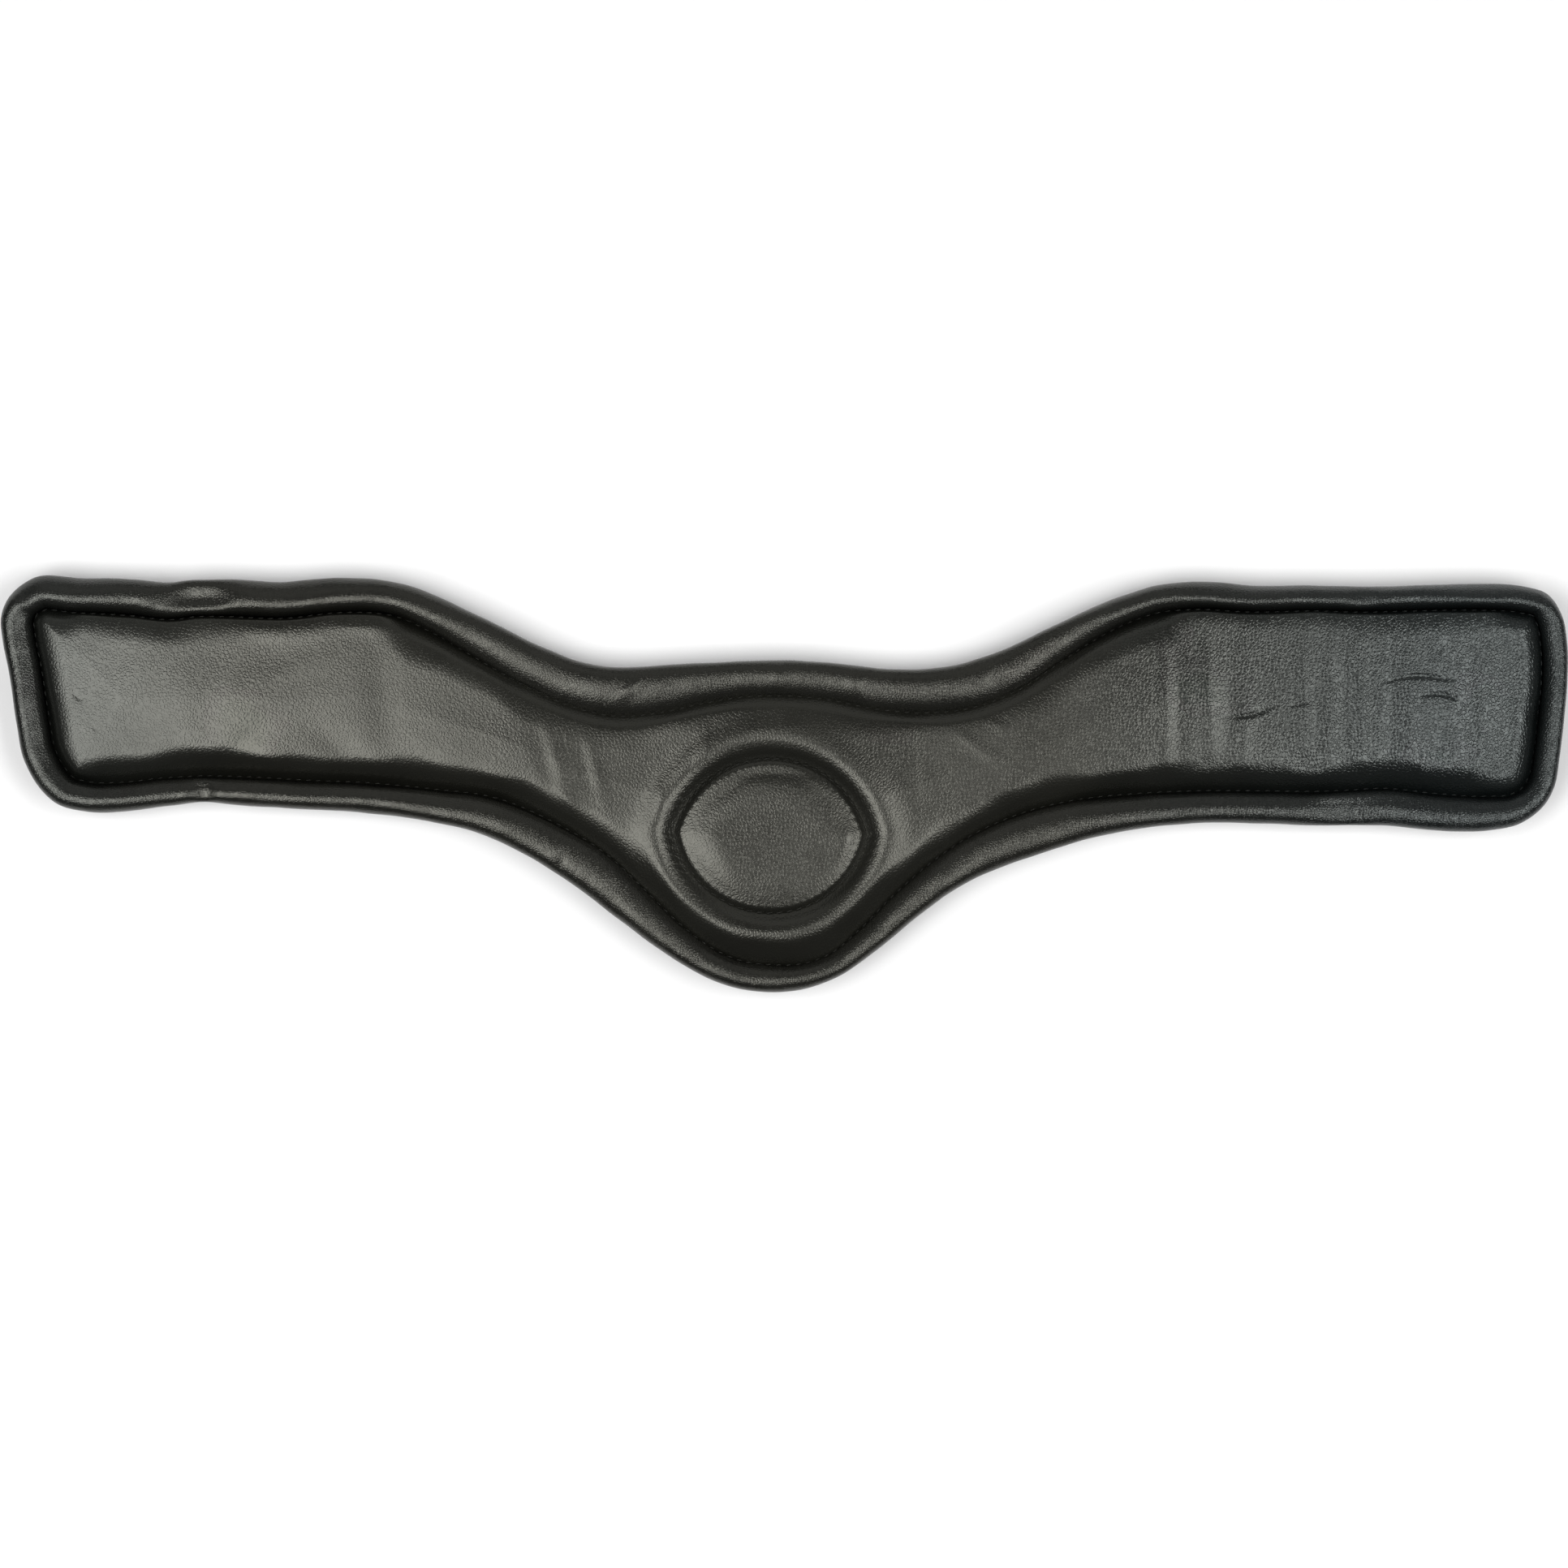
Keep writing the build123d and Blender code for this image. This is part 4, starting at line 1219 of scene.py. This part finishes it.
def polishedSteel():
    made, tree, shader, place = material("buckleSteel", {"Base Color": (0.62, 0.61, 0.59, 1), "Metallic": 1})
    # faint rub marks: the polish is duller where straps slide
    rub = addNode(tree, "TexNoise", {"Scale": 320, "Detail": 6}, {"Vector": place}).outputs["Fac"]
    tree.links.new(remap(tree, rub, 0.35, 0.75, 0.14, 0.34), shader.inputs["Roughness"])
    addRelief(tree, shader, rub, 0.07, 0.0001)
    return made


elasticBlack = ribbedElastic()
buckleSteel = polishedSteel()


# what each piece is made of and moves with
def dressPiece(piece, paint):
    piece.data.materials.clear()
    piece.data.materials.append(paint)


def finishPiece(piece, paint, riding, nodes=()):
    # riding is a body to attach to, or a side for what lies between the middle and that wing: such a piece is
    # only baked in place
    dressPiece(piece, paint)
    if riding in sideSign:
        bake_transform(piece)
    else:
        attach(piece, riding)
    if nodes:
        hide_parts(*nodes)


for side in sideSign:
    row = "rear" if side == "left" else "front"
    finishPiece(rims[side], rimLeather, side,
                ["rim_roll_" + side, "rim_core_" + side, "rim_roll_centre_" + row, "rim_core_centre_" + row])
    finishPiece(panels[side], liningLeather, side,
                ["lining_panel_" + side, "foam_base_" + side, "tensile_web_" + side])
    finishPiece(seams[side], threadBlack, side)
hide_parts("lining_panel_centre", "foam_base_centre", "tensile_web_centre")
finishPiece(pad, liningLeather, centreBody, ["centre_pad", "centre_pad_foam"])
finishPiece(padStitches, threadBlack, centreBody)

for side in sideSign:
    finishPiece(shells[side], bridleLeather, side, ["outer_shell_" + side])
    finishPiece(strips[side], strapLeather, side, ["reinforcing_strip_" + side])
    finishPiece(patches[side], strapLeather, side, ["anchor_patch_" + side])
    finishPiece(keepers[side], strapLeather, wingBody[side], ["keeper_band_" + side])
    for name, _ in buckleRows(side):
        finishPiece(chapes[name], strapLeather, name + "_chape", ["buckle_chape_" + name])
        # an elastic runs from its sewn end to the part the chape holds; here it is only baked in place, on no
        # body
        dressPiece(elastics[name], elasticBlack)
        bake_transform(elastics[name])
        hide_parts("elastic_" + name)
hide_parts("outer_shell_centre")
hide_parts("reinforcing_strip_centre")
finishPiece(tab, strapLeather, centreBody, ["ring_tab"])
for piece, riding in underRows:
    finishPiece(piece, threadBlack, riding)
for name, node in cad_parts.items():
    if name.startswith(("buckle_frame", "buckle_roller", "buckle_tongue", "centre_ring")):
        node.data.materials.clear()
        node.data.materials.append(buckleSteel)
print("pieces joined to their bodies")


# floor, light and camera
studio = {
    "floorSize": 30.0,
    "floorTone": 0.9,
    "roomTone": 1.0,              # how pale the room is seen
    "roomLight": 0.12,            # and how much it lights the girth
    "fade": (1.0, 3.2),           # where the floor turns as pale as the room, in metres
    "lens": 100,
    "sensor": 36,
    "viewWidth": 700.35,
    "viewHeight": 20,
    # soft boxes: place, what it points at, width, depth, power
    "boxes": {
        "leftBox": ((-0.88, -0.25, 2.0), (-0.88, -0.1, 0), 1.15, 1.3, 34.5),
        "rightBox": ((1.11, -0.25, 2.0), (1.11, -0.1, 0), 1.15, 1.3, 32.5),
        "middleBox": ((-0.12, -0.1, 2.1), (-0.12, 0, 0), 0.5, 1.2, 1.15),
        "rearBox": ((0, 2.1, 1.45), (0, 0, 0), 3.2, 1.7, 8.5),
    },
}
white = (1, 1, 1, 1)


def makeFloor():
    bpy.ops.object.select_all(action="DESELECT")
    bpy.ops.mesh.primitive_plane_add(size=studio["floorSize"], location=(0, 0, 0))
    floor = bpy.context.active_object
    floor.name = "floor"
    tone = studio["floorTone"]
    paint, tree, shader, place = material("floorWhite", {
        "Base Color": (tone, tone, tone, 1), "Roughness": 0.9, "Specular IOR Level": 0.1,
        "Emission Color": white,
    })
    # far from the lamps the floor is seen as pale as the room, without lighting anything
    away = addNode(tree, "VectorMath", feeds={0: place}, operation="LENGTH").outputs["Value"]
    fade = remap(tree, away, *studio["fade"], 0.0, studio["roomTone"] - studio["roomLight"])
    seen = addNode(tree, "LightPath").outputs["Is Camera Ray"]
    glow = addNode(tree, "Math", feeds={0: fade, 1: seen}, operation="MULTIPLY").outputs[0]
    tree.links.new(glow, shader.inputs["Emission Strength"])
    floor.data.materials.append(paint)


def softbox(name, place, aim, width, depth, power):
    light = bpy.data.lights.new(name, "AREA")
    light.shape = "RECTANGLE"
    light.size = width
    light.size_y = depth
    light.energy = power
    made = bpy.data.objects.new(name, light)
    bpy.context.scene.collection.objects.link(made)
    made.location = place
    made.rotation_mode = "QUATERNION"
    made.rotation_quaternion = (Vector(aim) - Vector(place)).to_track_quat("-Z", "Y")


def makeLight():
    for name, box in studio["boxes"].items():
        softbox(name, *box)
    world = bpy.data.worlds.new("studioRoom")
    bpy.context.scene.world = world
    world.use_nodes = True
    tree = world.node_tree
    weak = tree.nodes["Background"]               # what lights the girth
    weak.inputs["Color"].default_value = white
    weak.inputs["Strength"].default_value = studio["roomLight"]
    pale = addNode(tree, "Background", {"Color": white, "Strength": studio["roomTone"]})
    seen = addNode(tree, "LightPath").outputs["Is Camera Ray"]
    both = addNode(tree, "MixShader", feeds={0: seen, 1: weak.outputs[0], 2: pale.outputs[0]})
    tree.links.new(both.outputs[0], tree.nodes["World Output"].inputs["Surface"])


def makeCamera():
    cam = bpy.data.cameras.new("viewer")
    cam.lens = studio["lens"]
    cam.sensor_width = studio["sensor"]
    distance = studio["lens"] / studio["sensor"] * studio["viewWidth"] * mm
    viewer = bpy.data.objects.new("viewer", cam)
    bpy.context.scene.collection.objects.link(viewer)
    viewer.location = (0, 0, studio["viewHeight"] * mm + distance)
    viewer.rotation_euler = (0, 0, 0)
    bpy.context.scene.camera = viewer
    bpy.context.scene.view_settings.view_transform = "Standard"


makeFloor()
makeLight()
makeCamera()
print("studio made")
